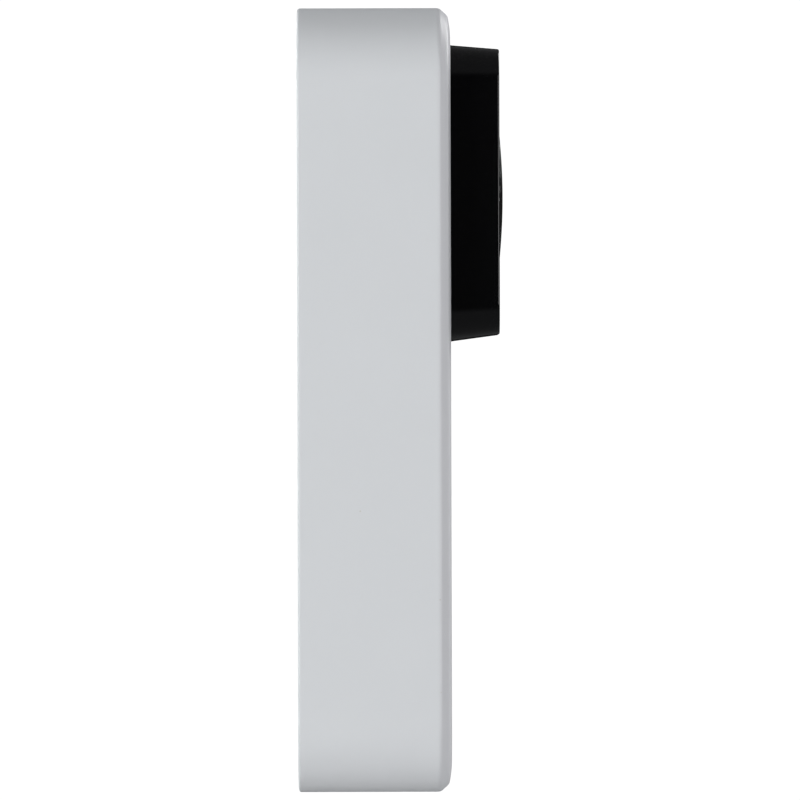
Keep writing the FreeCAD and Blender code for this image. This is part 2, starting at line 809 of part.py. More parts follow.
def make_front_housing():
    corner = (half_width, half_height)
    housing = plate("front_housing", (-half_width, -half_height), corner, body_corner, 0, body_depth)
    housing.soften("Chamfer", front_bevel, whole_edge_at_depth(body_depth))
    housing.soften("Fillet", bevel_soft, whole_edge_at_depth(body_depth))
    housing.soften("Fillet", bevel_soft, whole_edge_at_depth(body_depth - front_bevel))
    housing.soften("Fillet", back_soft, whole_edge_at_depth(0))
    recess = housing.outline("front", 0)
    recess.rounded(
        (-recess_half_width, -recess_half_height), (recess_half_width, recess_half_height), rim_corner
    )
    housing.pocket(recess, ledge_level)
    cavity = housing.outline("front", ledge_level)
    cavity.rounded(
        (-cavity_half_width, -cavity_half_height), (cavity_half_width, cavity_half_height), cavity_corner
    )
    housing.pocket(cavity, wall_level - ledge_level)
    groove = housing.outline("front", groove_lip)
    groove_half = hook_width / 2 + lock_room
    groove.rectangle(
        (-groove_half, recess_half_height - rim_wall), (groove_half, recess_half_height + groove_rise)
    )
    housing.pocket(groove, cover_level - groove_lip)
    make_lock_slot(housing)
    make_speaker_grille(housing)
    # posts and bosses that stand on the inside of the front wall
    cover_bosses = housing.outline("front", ledge_level).circles(cover_screw_places, cover_boss_radius)
    housing.pad(cover_bosses, wall_level - ledge_level)
    camera_posts = housing.outline("front", camera_board_front).circles(camera_screw_places, post_radius)
    housing.pad(camera_posts, wall_level - camera_board_front)
    main_posts = housing.outline("front", main_board_front).circles(main_screw_places, post_radius)
    housing.pad(main_posts, wall_level - main_board_front)
    button_bosses = housing.outline("front", light_flange_level)
    button_bosses.circles(button_screw_places, button_boss_radius)
    housing.pad(button_bosses, light_flange_thick)
    # screw holes in them
    cover_holes = housing.outline("front", ledge_level)
    cover_holes.circles(cover_screw_places, cover_screw_radius + thread_gap)
    housing.pocket(cover_holes, cover_screw_grip)
    camera_holes = housing.outline("front", camera_board_front)
    camera_holes.circles(camera_screw_places, small_screw_radius + thread_gap)
    housing.pocket(camera_holes, small_screw_grip)
    main_holes = housing.outline("front", main_board_front)
    main_holes.circles(main_screw_places, small_screw_radius + thread_gap)
    housing.pocket(main_holes, small_screw_grip)
    button_holes = housing.outline("front", light_flange_level)
    button_holes.circles(button_screw_places, small_screw_radius + thread_gap)
    housing.pocket(button_holes, light_flange_thick + front_wall / 2)
    # seat of the camera island, and the openings through the front wall
    seat = housing.outline("front", seat_level)
    seat.rounded(
        (-island_width / 2 - seat_gap, island_bottom - seat_gap),
        (island_width / 2 + seat_gap, island_top + seat_gap),
        island_corner + seat_gap,
    )
    housing.pocket(seat, seat_depth)
    openings = housing.outline("front", wall_level)
    openings.circle((size(0), lens_height), barrel_head_radius + lens_hole_gap)
    openings.circles(shell_screw_places, small_screw_radius + hole_gap)
    openings.circle((size(0), button_height), light_radius + light_gap)
    openings.block(
        (led_cable_middle, led_cable_height), cable_width + 4 * cable_border, cable_thick + 4 * cable_border
    )
    housing.pocket(openings, front_wall)
    housing.soften("Chamfer", lip_soft, front_lips)


def front_lips(edge):
    """The lips of the island's seat and the button's hole, inside the front face's border."""
    border = 2 * (front_bevel + bevel_soft)
    box = edge.BoundBox
    inside_width = max(box.XMax, -box.XMin) < (half_width - border).number
    inside_height = max(box.ZMax, -box.ZMin) < (half_height - border).number
    return whole_edge_at_depth(body_depth)(edge) and inside_width and inside_height


def make_lock_slot(housing):
    """A keyhole for the security screw, open towards the wall so that the unit can swing."""
    shank = lock_radius + lock_room
    head = lock_head_radius + lock_room
    for half, height, rise in (
        (shank, -half_height, rim_end_wall),
        (head, -half_height, lock_sink),
    ):
        housing.pocket(
            housing.outline("level", height).rectangle((-half, size(0)), (half, lock_depth)), rise
        )
        housing.pocket(housing.outline("level", height).circle((size(0), lock_depth), half), rise)


def make_speaker_grille(housing):
    slots = housing.outline("level", -half_height)
    for index in range(grille_slots):
        middle = (index - (grille_slots - 1) / 2) * grille_pitch
        slots.rounded(
            (middle - grille_slot_width / 2, speaker_level - grille_slot_length / 2),
            (middle + grille_slot_width / 2, speaker_level + grille_slot_length / 2),
            grille_slot_width * 0.45,
        )
    housing.pocket(slots, end_wall)


def make_back_cover():
    low = (-cover_half_width, -cover_half_height)
    high = (cover_half_width, cover_half_height)
    cover = plate("back_cover", low, high, rim_corner - cover_gap, cover_level, cover_thick)
    divider = cover.outline("front", cover_level - divider_rise)
    cover.pad(divider.block((size(0), terminal_height), divider_width, divider_height), divider_rise)
    cover_holes = cover.outline("front", cover_level)
    cover_holes.circles(cover_screw_places, cover_screw_radius + hole_gap)
    cover_holes.circles(terminal_places(), terminal_radius + thread_gap)
    cover_holes.circle((reset_across, reset_height), reset_radius + reset_gap)
    cover.pocket(cover_holes, cover_thick)
    sinks = cover.outline("front", cover_level)
    sinks.circles(cover_screw_places, cover_head_radius + hole_gap)
    cover.pocket(sinks, cover_head_thick)


def make_back_gasket():
    gasket = Piece("back_gasket")
    ring = gasket.outline("front", gasket_level)
    ring.frame(
        (-cover_half_width, -cover_half_height),
        (cover_half_width, cover_half_height),
        rim_corner - cover_gap,
        gasket_width,
    )
    gasket.pad(ring, gasket_thick)


def make_cover_screws():
    front_screws(
        "cover_screws",
        cover_screw_places,
        cover_level + cover_head_thick,
        cover_screw_grip,
        cover_screw_radius,
        cover_head_radius,
        cover_head_thick,
    )


# ---------------------------------------------------------------- camera island


def island_corners(inset):
    """Low and high corners of the island's front outline, less an inset."""
    low = (
        island_side_draft + inset - island_width / 2,
        island_bottom + island_bottom_draft + inset,
    )
    high = (
        island_width / 2 - island_side_draft - inset,
        island_top - island_top_draft - inset,
    )
    return low, high


def make_camera_shell():
    shell = Piece("camera_shell")
    base = shell.outline("front", shell_level)
    base.rounded((-island_width / 2, island_bottom), (island_width / 2, island_top), island_corner)
    face = shell.outline("front", island_front)
    face.rounded(*island_corners(size(0)), island_corner - island_side_draft)
    loft = shell.feature("AdditiveLoft", base)
    loft.Sections = [face.sketch]
    loft.Ruled = True
    shell.soften("Fillet", island_soft, whole_edge_at_depth(island_front))
    hollow = shell.outline("front", shell_level)
    hollow.rounded(
        (island_wall - island_width / 2, island_bottom + island_wall),
        (island_width / 2 - island_wall, island_top - island_wall),
        island_corner - island_wall,
    )
    shell.pocket(hollow, island_floor_level - shell_level)
    rebate = shell.outline("front", window_level)
    rebate.rounded(
        *island_corners(window_margin - window_gap), island_corner - island_side_draft - window_margin
    )
    shell.pocket(rebate, window_thick)
    bosses = shell.outline("front", shell_level).circles(shell_screw_places, shell_boss_radius)
    shell.pad(bosses, island_floor_level - shell_level)
    shoulders = shell.outline("front", led_board_front).circles(stake_places, stake_shoulder)
    shell.pad(shoulders, island_floor_level - led_board_front)
    stakes = shell.outline("front", led_board_level - stake_radius).circles(stake_places, stake_radius)
    shell.pad(stakes, led_board_thick + stake_radius)
    bores = shell.outline("front", shell_level)
    bores.circles(shell_screw_places, small_screw_radius + thread_gap)
    shell.pocket(bores, small_screw_grip)
    ports = shell.outline("front", island_floor_level)
    ports.circle((size(0), lens_height), dome_radius - dome_seal_width)
    ports.circles(led_places, led_port_radius)
    ports.circle((size(0), lens_height + light_sensor_rise), led_port_radius)
    ports.circle((size(0), lens_height - microphone_drop), boot_radius)
    shell.pocket(ports, island_floor)


def make_camera_shell_seal():
    seal = Piece("camera_shell_seal")
    ring = seal.outline("front", seat_level)
    ring.frame(
        (-island_width / 2, island_bottom), (island_width / 2, island_top), island_corner, shell_seal_width
    )
    seal.pad(ring, shell_seal_thick)


def make_camera_shell_screws():
    front_screws(
        "camera_shell_screws",
        shell_screw_places,
        wall_level,
        shell_level - wall_level + small_screw_grip,
        small_screw_radius,
        small_head_radius,
        small_head_thick,
    )


def make_front_window():
    low, high = island_corners(window_margin)
    corner = island_corner - island_side_draft - window_margin
    window = plate("front_window", low, high, corner, window_level, window_thick)
    ports = window.outline("front", window_level)
    ports.circle((size(0), lens_height), dome_radius + dome_gap)
    ports.circle((size(0), lens_height - microphone_drop), microphone_port)
    window.pocket(ports, window_thick)


def make_lens_dome():
    """A flat disc with a shallow crown, whose outline is an arc through its middle."""
    dome = Piece("lens_dome")
    rim_front = island_front + dome_step
    disc = dome.outline("side", 0).rectangle((dome_level, size(0)), (rim_front, dome_radius))
    dome.turn(disc)
    crown = dome.outline("side", 0)
    steps = 12
    points = [(rim_front, size(0)), (rim_front, dome_radius - dome_step)]
    for index in range(1, steps + 1):
        share = index / steps
        points.append(
            (rim_front + dome_crown * (1 - (1 - share) ** 2), (dome_radius - dome_step) * (1 - share))
        )
    dome.turn(crown.polygon(*points))
    dome.at(height=lens_height)


def make_dome_seal():
    ring = (
        (window_level, dome_radius - dome_seal_width),
        (dome_level, dome_radius - dome_seal_width),
        (dome_level, dome_radius),
        (window_level, dome_radius),
    )
    turned("dome_seal", *ring).at(height=lens_height)


def make_light_baffle():
    bore = barrel_head_radius + baffle_gap
    back = dome_level - baffle_length
    lip = baffle_radius - bore
    turned(
        "light_baffle",
        (back, bore),
        (back, baffle_radius),
        (dome_level, baffle_radius),
        (dome_level, baffle_radius - lip / 2),
        (barrel_front + baffle_gap, bore - lip / 2),
        (barrel_front + baffle_gap, bore),
    ).at(height=lens_height)


def make_lens():
    shoulder = barrel_front - barrel_head_length
    cup = barrel_front - front_element_thick - rest_gap
    turned(
        "lens_barrel",
        (barrel_back, barrel_bore),
        (barrel_back, barrel_radius),
        (shoulder, barrel_radius),
        (shoulder, barrel_head_radius),
        (barrel_front, barrel_head_radius),
        (barrel_front, front_element_radius + rest_gap),
        (cup, front_element_radius + rest_gap),
        (cup, barrel_bore),
    ).at(height=lens_height)
    elements = Piece("lens_elements")
    front = elements.outline("side", 0)
    front.polygon(
        (cup, size(0)),
        (cup, front_element_radius),
        (cup + front_element_thick * 0.5, front_element_radius),
        (cup + front_element_thick * 0.9, front_element_radius * 0.5),
        (cup + front_element_thick, size(0)),
    )
    elements.turn(front)
    rear = elements.outline("side", 0)
    rear_back = barrel_back + rest_gap
    rear_radius = barrel_bore - rest_gap
    rear.polygon(
        (rear_back, size(0)),
        (rear_back + rear_element_thick * 0.2, rear_radius),
        (rear_back + rear_element_thick * 0.8, rear_radius),
        (rear_back + rear_element_thick, size(0)),
    )
    elements.turn(rear)
    elements.at(height=lens_height)


# ---------------------------------------------------------------- camera board and night filter


def make_camera_board():
    low = (-camera_board_width / 2, lens_height - camera_board_below)
    high = (camera_board_width / 2, lens_height + camera_board_above)
    board = plate("camera_board", low, high, post_radius, camera_board_level, camera_board_thick)
    holes = board.outline("front", camera_board_level)
    holes.circles(camera_screw_places, small_screw_radius + hole_gap)
    board.pocket(holes, camera_board_thick)
    front_screws(
        "camera_board_screws",
        camera_screw_places,
        camera_board_level,
        camera_board_thick + small_screw_grip,
        small_screw_radius,
        small_head_radius,
        small_head_thick,
    )
    sensor = Piece("image_sensor")
    package = sensor.outline("front", camera_board_front)
    sensor.pad(package.block((size(0), lens_height), sensor_width, sensor_height), sensor_thick)


def make_lens_holder():
    middle = (size(0), lens_height)
    holder = Piece("lens_holder")
    outside = holder.outline("front", camera_board_front)
    holder.pad(outside.block(middle, holder_width, holder_width), holder_length)
    well = holder.outline("front", camera_board_front)
    holder.pocket(well.block(middle, holder_well_width, holder_well_width), holder_well)
    slide = holder.outline("front", filter_slot_level)
    holder.pocket(
        slide.block(middle, holder_width + filter_edge, filter_width + 2 * filter_slide_gap),
        filter_slot_length,
    )
    sweep = tab_width + filter_travel + 2 * filter_slide_gap
    notch = holder.outline("front", filter_slot_level)
    notch.rectangle(
        (-sweep / 2, lens_height + filter_width / 2),
        (sweep / 2, lens_height + holder_width / 2 + filter_edge),
    )
    holder.pocket(notch, filter_slot_length)
    bore_level = filter_slot_level + filter_slot_length
    bore = holder.outline("front", bore_level).circle(middle, barrel_radius)
    holder.pocket(bore, holder_length)


def make_night_filter():
    """A blade with two panes that slides across the light path, and the rotor that moves it."""
    half_pane = filter_pane / 2
    half_pitch = filter_travel / 2
    blade = Piece("ir_filter_blade")
    left = -(half_pane + filter_edge)
    right = filter_travel + half_pane + filter_edge
    flat = blade.outline("front", filter_level)
    flat.rectangle(
        (left, lens_height - filter_width / 2), (right, lens_height + filter_width / 2)
    )
    blade.pad(flat, filter_thick)
    pin_drop = rotor_rise - rotor_arm
    tab = blade.outline("front", filter_level)
    tab.rectangle(
        (half_pitch - tab_width / 2, lens_height + filter_width / 2 - filter_edge / 2),
        (half_pitch + tab_width / 2, lens_height + pin_drop + 2 * filter_edge),
    )
    blade.pad(tab, filter_thick)
    windows = blade.outline("front", filter_level)
    for middle in (size(0), filter_travel):
        windows.block((middle, lens_height), filter_pane, filter_pane)
    slot_half = rotor_pin_radius + filter_gap
    windows.rectangle(
        (half_pitch - slot_half, lens_height + pin_drop - slot_half),
        (half_pitch + slot_half, lens_height + pin_drop + filter_edge + slot_half / 4),
    )
    blade.pocket(windows, filter_thick)
    panes = Piece("ir_filter_panes")
    glass = panes.outline("front", filter_level + filter_thick / 4)
    for middle in (size(0), filter_travel):
        glass.block((middle, lens_height), filter_pane, filter_pane)
    panes.pad(glass, filter_thick / 2)

    arm_level = filter_level + filter_thick + filter_gap
    rotor = Piece("ir_filter_rotor")
    rotor_back = camera_board_front + coil_base_thick + filter_gap
    centre = (size(0), size(0))
    hub = rotor.outline("front", rotor_back).circle(centre, rotor_radius)
    rotor.pad(hub, arm_level + rotor_arm_thick - rotor_back)
    arm = rotor.outline("front", arm_level)
    half_arm = 2 * rotor_pin_radius
    arm.rectangle((-half_arm, -rotor_arm - rotor_pin_radius - hole_gap), (half_arm, size(0)))
    rotor.pad(arm, rotor_arm_thick)
    pin = rotor.outline("front", filter_level).circle((size(0), -rotor_arm), rotor_pin_radius)
    rotor.pad(pin, arm_level - filter_level)
    bore = rotor.outline("front", rotor_back).circle(centre, rotor_shaft_radius + rotor_shaft_gap)
    rotor.pocket(bore, arm_level + rotor_arm_thick - rotor_back)
    rotor.at(height=lens_height + rotor_rise)
    swing = math.degrees(math.asin(half_pitch.number / rotor_arm.number))
    rotor.body.Placement.Rotation = FreeCAD.Rotation(Vector(0, -1, 0), swing)
    formula = "asin(%s / %s)" % (half_pitch.formula, rotor_arm.formula)
    rotor.body.setExpression("Placement.Rotation.Angle", formula)

    coil = Piece("ir_filter_coil")
    base = coil.outline("front", camera_board_front)
    rotor_height = lens_height + rotor_rise
    base.rectangle(
        (-rotor_radius - filter_gap, rotor_height - coil_height / 2),
        (coil_reach + coil_width, rotor_height + coil_height / 2),
    )
    coil.pad(base, coil_base_thick)
    winding = coil.outline("front", camera_board_front + coil_base_thick)
    winding.rectangle(
        (coil_reach, rotor_height - coil_height / 2),
        (coil_reach + coil_width, rotor_height + coil_height / 2),
    )
    coil.pad(winding, arm_level - camera_board_front - coil_base_thick)
    shaft = coil.outline("front", camera_board_front + coil_base_thick)
    shaft.circle((size(0), rotor_height), rotor_shaft_radius)
    coil.pad(shaft, arm_level + rotor_arm_thick - camera_board_front - coil_base_thick)


# ---------------------------------------------------------------- infrared board


def make_ir_led_board():
    low = (-led_board_width / 2, island_middle - led_board_height / 2)
    high = (led_board_width / 2, island_middle + led_board_height / 2)
    board = plate("ir_led_board", low, high, led_board_corner, led_board_level, led_board_thick)
    holes = board.outline("front", led_board_level)
    holes.circle((size(0), lens_height), baffle_radius + baffle_gap)
    holes.circles(stake_places, stake_radius + thread_gap)
    board.pocket(holes, led_board_thick)
    lamps = Piece("ir_leds")
    packages = lamps.outline("front", led_board_front)
    for place in led_places:
        packages.block(place, led_width, led_width)
    lamps.pad(packages, led_thick * 0.5)
    lamps.pad(
        lamps.outline("front", led_board_front + led_thick * 0.5).circles(led_places, led_width * 0.45),
        led_thick * 0.5,
    )
    cell = Piece("light_sensor")
    place = (size(0), lens_height + light_sensor_rise)
    window = cell.outline("front", led_board_front)
    cell.pad(window.block(place, light_sensor_width, light_sensor_width), light_sensor_thick)


def make_microphone():
    place = (size(0), lens_height - microphone_drop)
    capsule = Piece("microphone")
    can = capsule.outline("front", led_board_front)
    capsule.pad(can.block(place, microphone_width, microphone_height), microphone_thick)
    boot = Piece("microphone_boot")
    sleeve = boot.outline("front", led_board_front + microphone_thick)
    sleeve.circle(place, boot_radius - thread_gap).circle(place, microphone_port)
    boot.pad(sleeve, window_level - led_board_front - microphone_thick)


# ---------------------------------------------------------------- main board and what it carries


def terminal_places():
    return [(side * terminal_across, terminal_height) for side in SIDES]


def make_main_board():
    low = (-main_board_width / 2, main_board_bottom)
    high = (main_board_width / 2, main_board_top)
    board = plate("main_board", low, high, post_radius, main_board_level, main_board_thick)
    holes = board.outline("front", main_board_level)
    holes.circles(main_screw_places, small_screw_radius + hole_gap)
    board.pocket(holes, main_board_thick)
    front_screws(
        "main_board_screws",
        main_screw_places,
        main_board_level,
        main_board_thick + small_screw_grip,
        small_screw_radius,
        small_head_radius,
        small_head_thick,
    )


def make_shield(label, middle_height, width, height):
    """A tinned lid with four walls, open towards the board."""
    middle = (size(0), middle_height)
    shield = Piece(label)
    lid = shield.outline("front", main_board_front).block(middle, width, height)
    shield.pad(lid, shield_thick)
    inside = shield.outline("front", main_board_front)
    inside.block(middle, width - 2 * shield_skin, height - 2 * shield_skin)
    shield.pocket(inside, shield_thick - shield_skin)


def make_board_parts():
    make_shield("processor_shield", processor_middle, processor_width, processor_height)
    make_shield("radio_shield", radio_middle, radio_width, radio_height)
    places = [(side * capacitor_across, capacitor_middle) for side in SIDES]
    capacitors = Piece("bulk_capacitors")
    feet = capacitors.outline("front", main_board_front)
    for place in places:
        feet.block(place, 2 * capacitor_radius, 2 * capacitor_radius)
    capacitors.pad(feet, shield_skin)
    cans = capacitors.outline("front", main_board_front + shield_skin)
    capacitors.pad(cans.circles(places, capacitor_radius), capacitor_length - shield_skin)
    inductors = Piece("inductors")
    cores = inductors.outline("front", main_board_level - inductor_thick)
    for side in SIDES:
        cores.block((side * inductor_across, inductor_middle), inductor_width, inductor_width)
    inductors.pad(cores, inductor_thick)
    antennas = Piece("antennas")
    arms = antennas.outline("front", main_board_front + antenna_stand)
    legs = antennas.outline("front", main_board_front)
    antenna_middle = (antenna_inner + antenna_outer) / 2
    for side in SIDES:
        place = (side * antenna_middle, antenna_low + antenna_width / 2)
        arms.block(place, antenna_outer - antenna_inner, antenna_width)
        foot = (side * (antenna_outer - antenna_skin), antenna_low + antenna_width / 2)
        legs.block(foot, 2 * antenna_skin, antenna_width)
    antennas.pad(arms, antenna_skin)
    antennas.pad(legs, antenna_stand)


def make_connectors():
    """Every board connector: four on the main board and their partners on the small boards."""
    shell_width = cable_width + 2 * cable_border
    camera_level = main_board_front + connector_rise
    led_low = led_cable_height - connector_depth / 2
    led_high = led_cable_height + connector_depth / 2
    camera_left = camera_cable_middle - shell_width / 2
    camera_right = camera_cable_middle + shell_width / 2
    led_left = led_cable_middle - shell_width / 2
    led_right = led_cable_middle + shell_width / 2
    speaker_left = -(lead_spread + 3 * lead_radius)
    half_mezzanine = mezzanine_width / 2
    mezzanine_low = button_height - connector_depth / 2
    mezzanine_high = button_height + connector_depth / 2
    blocks(
        "connectors",
        [
            (
                (camera_left, camera_cable_low - connector_depth),
                (camera_right, camera_cable_low),
                main_board_front,
                connector_rise,
            ),
            (
                (camera_left, camera_cable_high),
                (camera_right, camera_cable_high + connector_depth),
                main_board_front + cable_thick,
                camera_board_level - main_board_front - cable_thick,
            ),
            ((led_left, led_low), (led_right, led_high), main_board_front, connector_rise),
            (
                (led_left, led_low),
                (led_right, led_high),
                led_board_level - connector_rise,
                connector_rise,
            ),
            (
                (speaker_left, main_board_bottom + cable_border),
                (-speaker_left, main_board_bottom + cable_border + connector_depth),
                main_board_front,
                connector_rise,
            ),
            (
                (-half_mezzanine, mezzanine_low),
                (half_mezzanine, mezzanine_high),
                main_board_front,
                connector_rise,
            ),
            (
                (-half_mezzanine, mezzanine_low),
                (half_mezzanine, mezzanine_high),
                camera_level,
                button_board_level - camera_level,
            ),
        ],
    )


def make_flat_cables():
    cables = Piece("flat_cables")
    run = cables.outline("front", main_board_front + connector_rise / 2)
    run.rectangle(
        (camera_cable_middle - cable_width / 2, camera_cable_low),
        (camera_cable_middle + cable_width / 2, camera_cable_high),
    )
    cables.pad(run, cable_thick)
    start = main_board_front + connector_rise
    strip = cables.outline("front", start)
    strip.block((led_cable_middle, led_cable_height), cable_width, cable_thick)
    cables.pad(strip, led_board_level - connector_rise - start)


# ---------------------------------------------------------------- wire terminals and reset button


def make_terminals():
    places = terminal_places()
    posts = Piece("terminal_posts")
    tip = cover_level - terminal_proud
    flange_level = gasket_level + gasket_thick
    posts.pad(posts.outline("front", tip).circles(places, terminal_radius), flange_level - tip)
    flanges = posts.outline("front", flange_level).circles(places, terminal_flange_radius)
    posts.pad(flanges, main_board_level - flange_level)
    bores = posts.outline("front", tip).circles(places, terminal_thread + thread_gap)
    posts.pocket(bores, terminal_grip)
    seals = Piece("terminal_seals")
    rings = seals.outline("front", gasket_level)
    rings.circles(places, terminal_flange_radius)
    rings.circles(places, terminal_radius + thread_gap)
    seals.pad(rings, gasket_thick)
    front_screws(
        "terminal_screws",
        places,
        tip,
        terminal_grip - hole_gap,
        terminal_thread,
        terminal_head_radius,
        terminal_head_thick,
    )


def make_reset():
    place = (reset_across, reset_height)
    switch_level = main_board_level - reset_switch_thick
    switch = Piece("reset_switch")
    package = switch.outline("front", switch_level)
    switch.pad(package.block(place, reset_switch_width, reset_switch_width), reset_switch_thick)
    dome_back = switch_level - reset_dome_thick
    turned(
        "reset_dome",
        (dome_back, size(0)),
        (dome_back, reset_dome_radius / 2),
        (switch_level, reset_dome_radius),
        (switch_level, size(0)),
    ).at(reset_across, 0, reset_height)
    flange_back = gasket_level + rest_gap
    turned(
        "reset_button",
        (cover_level - reset_proud, size(0)),
        (cover_level - reset_proud, reset_radius),
        (flange_back, reset_radius),
        (flange_back, reset_flange_radius),
        (flange_back + reset_flange_thick, reset_flange_radius),
        (flange_back + reset_flange_thick, reset_radius),
        (dome_back - rest_gap, reset_dome_radius),
        (dome_back - rest_gap, size(0)),
    ).at(reset_across, 0, reset_height)


# ---------------------------------------------------------------- call button


def make_button_light_ring():
    """The glowing ring round the button, with a skirt that reaches back to its lamps."""
    bore = button_radius + button_gap
    front = body_depth - light_inset
    turned(
        "button_light_ring",
        (light_skirt_level, light_skirt_radius),
        (light_skirt_level, light_radius),
        (light_flange_level, light_radius),
        (light_flange_level, light_flange_radius),
        (wall_level, light_flange_radius),
        (wall_level, light_radius),
        (front - light_inset, light_radius),
        (front, light_radius - light_inset),
        (front, bore + light_inset),
        (front - light_inset, bore),
        (light_flange_level, bore),
        (light_flange_level, light_skirt_radius),
    ).at(height=button_height)


def make_button_cap():
    """A shallow dished cap, hollow behind, with a flange that stops it and a stem that presses."""
    hollow = button_front - button_skin
    stem_back = membrane_front + rest_gap
    turned(
        "button_cap",
        (stem_back, size(0)),
        (stem_back, button_stem_radius),
        (hollow, button_stem_radius),
        (hollow, button_radius - button_wall),
        (button_flange_back, button_radius - button_wall),
        (button_flange_back, button_flange_radius),
        (button_flange_front, button_flange_radius),
        (button_flange_front, button_radius),
        (button_front - button_edge, button_radius),
        (button_front, button_radius - button_edge),
        (button_front - button_dish * 0.75, button_radius / 2),
        (button_front - button_dish, size(0)),
    ).at(height=button_height)


def make_button_membrane():
    bead = light_skirt_radius - membrane_bead
    turned(
        "button_membrane",
        (plunger_front, size(0)),
        (plunger_front, plunger_radius),
        (membrane_level, plunger_radius + membrane_nub),
        (membrane_level, bead),
        (light_skirt_level + membrane_nub, bead),
        (light_skirt_level + membrane_nub, light_skirt_radius),
        (membrane_front, light_skirt_radius),
        (membrane_front, size(0)),
    ).at(height=button_height)


def make_button_switch():
    middle = (size(0), button_height)
    switch = Piece("button_switch")
    package = switch.outline("front", frame_level)
    switch.pad(package.block(middle, switch_width, switch_width), switch_thick)
    plunger_back = plunger_front - plunger_length
    bore_level = plunger_back - button_travel - rest_gap
    bore = switch.outline("front", bore_level).circle(middle, plunger_radius + plunger_gap)
    switch.pocket(bore, switch_thick)
    plunger = Piece("switch_plunger")
    plunger.pad(plunger.outline("front", plunger_back).circle(middle, plunger_radius), plunger_length)


def button_square(piece, level):
    return piece.outline("front", level).rounded(
        (-frame_width / 2, button_height - frame_width / 2),
        (frame_width / 2, button_height + frame_width / 2),
        frame_corner,
    )


def make_button_frame():
    middle = (size(0), button_height)
    frame = Piece("button_frame")
    frame.pad(button_square(frame, frame_level), frame_thick)
    frame.pocket(frame.outline("front", frame_level).circle(middle, light_radius + frame_gap), frame_thick)
    holes = frame.outline("front", frame_level)
    frame.pocket(holes.circles(button_screw_places, small_screw_radius + hole_gap), frame_thick)
    board = Piece("button_board")
    board.pad(button_square(board, button_board_level), button_board_thick)
    holes = board.outline("front", button_board_level)
    board.pocket(holes.circles(button_screw_places, small_screw_radius + hole_gap), button_board_thick)
    front_screws(
        "button_board_screws",
        button_screw_places,
        button_board_level,
        button_board_thick + frame_thick + light_flange_thick + front_wall / 4,
        small_screw_radius,
        small_head_radius,
        small_head_thick,
    )
    lamps = Piece("ring_leds")
    packages = lamps.outline("front", frame_level)
    for index in range(ring_led_count):
        turn = 2 * math.pi * (index + 0.5) / ring_led_count
        place = (
            ring_led_reach * math.cos(turn),
            button_height + ring_led_reach * math.sin(turn),
        )
        packages.block(place, ring_led_width, ring_led_width)
    lamps.pad(packages, ring_led_thick)


# ---------------------------------------------------------------- loudspeaker


def speaker_box(piece, height, inset):
    """The loudspeaker's outline on a level plane, less an inset."""
    half_width_here = speaker_width / 2 - inset
    half_deep_here = speaker_deep / 2 - inset
    return piece.outline("level", height).rounded(
        (-half_width_here, speaker_level - half_deep_here),
        (half_width_here, speaker_level + half_deep_here),
        speaker_corner,
    )


def make_speaker():
    mesh = Piece("speaker_mesh")
    mesh.pad(speaker_box(mesh, speaker_mesh_low, size(0)), speaker_mesh_thick)
    gasket = Piece("speaker_gasket")
    gasket.pad(speaker_box(gasket, speaker_gasket_low, size(0)), speaker_gasket_thick)
    gasket.pocket(speaker_box(gasket, speaker_gasket_low, speaker_wall), speaker_gasket_thick)
    frame = Piece("speaker_frame")
    frame.pad(speaker_box(frame, speaker_low, size(0)), speaker_thick)
    frame.pocket(speaker_box(frame, speaker_low, speaker_wall), speaker_well)
    seat = frame.outline("level", speaker_low + speaker_well)
    frame.pocket(
        seat.block((size(0), speaker_level), magnet_width, magnet_deep), speaker_thick - speaker_well
    )
    magnet = Piece("speaker_magnet")
    block = magnet.outline("level", speaker_low + speaker_well)
    magnet.pad(
        block.block((size(0), speaker_level), magnet_width, magnet_deep),
        speaker_thick - speaker_well + magnet_proud,
    )
    cone = Piece("speaker_cone")
    cone.pad(speaker_box(cone, cone_low, speaker_wall + cone_gap), cone_thick)
    former = cone.outline("level", cone_low + cone_thick)
    former.block((size(0), speaker_level), coil_former_width, coil_former_width)
    cone.pad(former, coil_former_length)


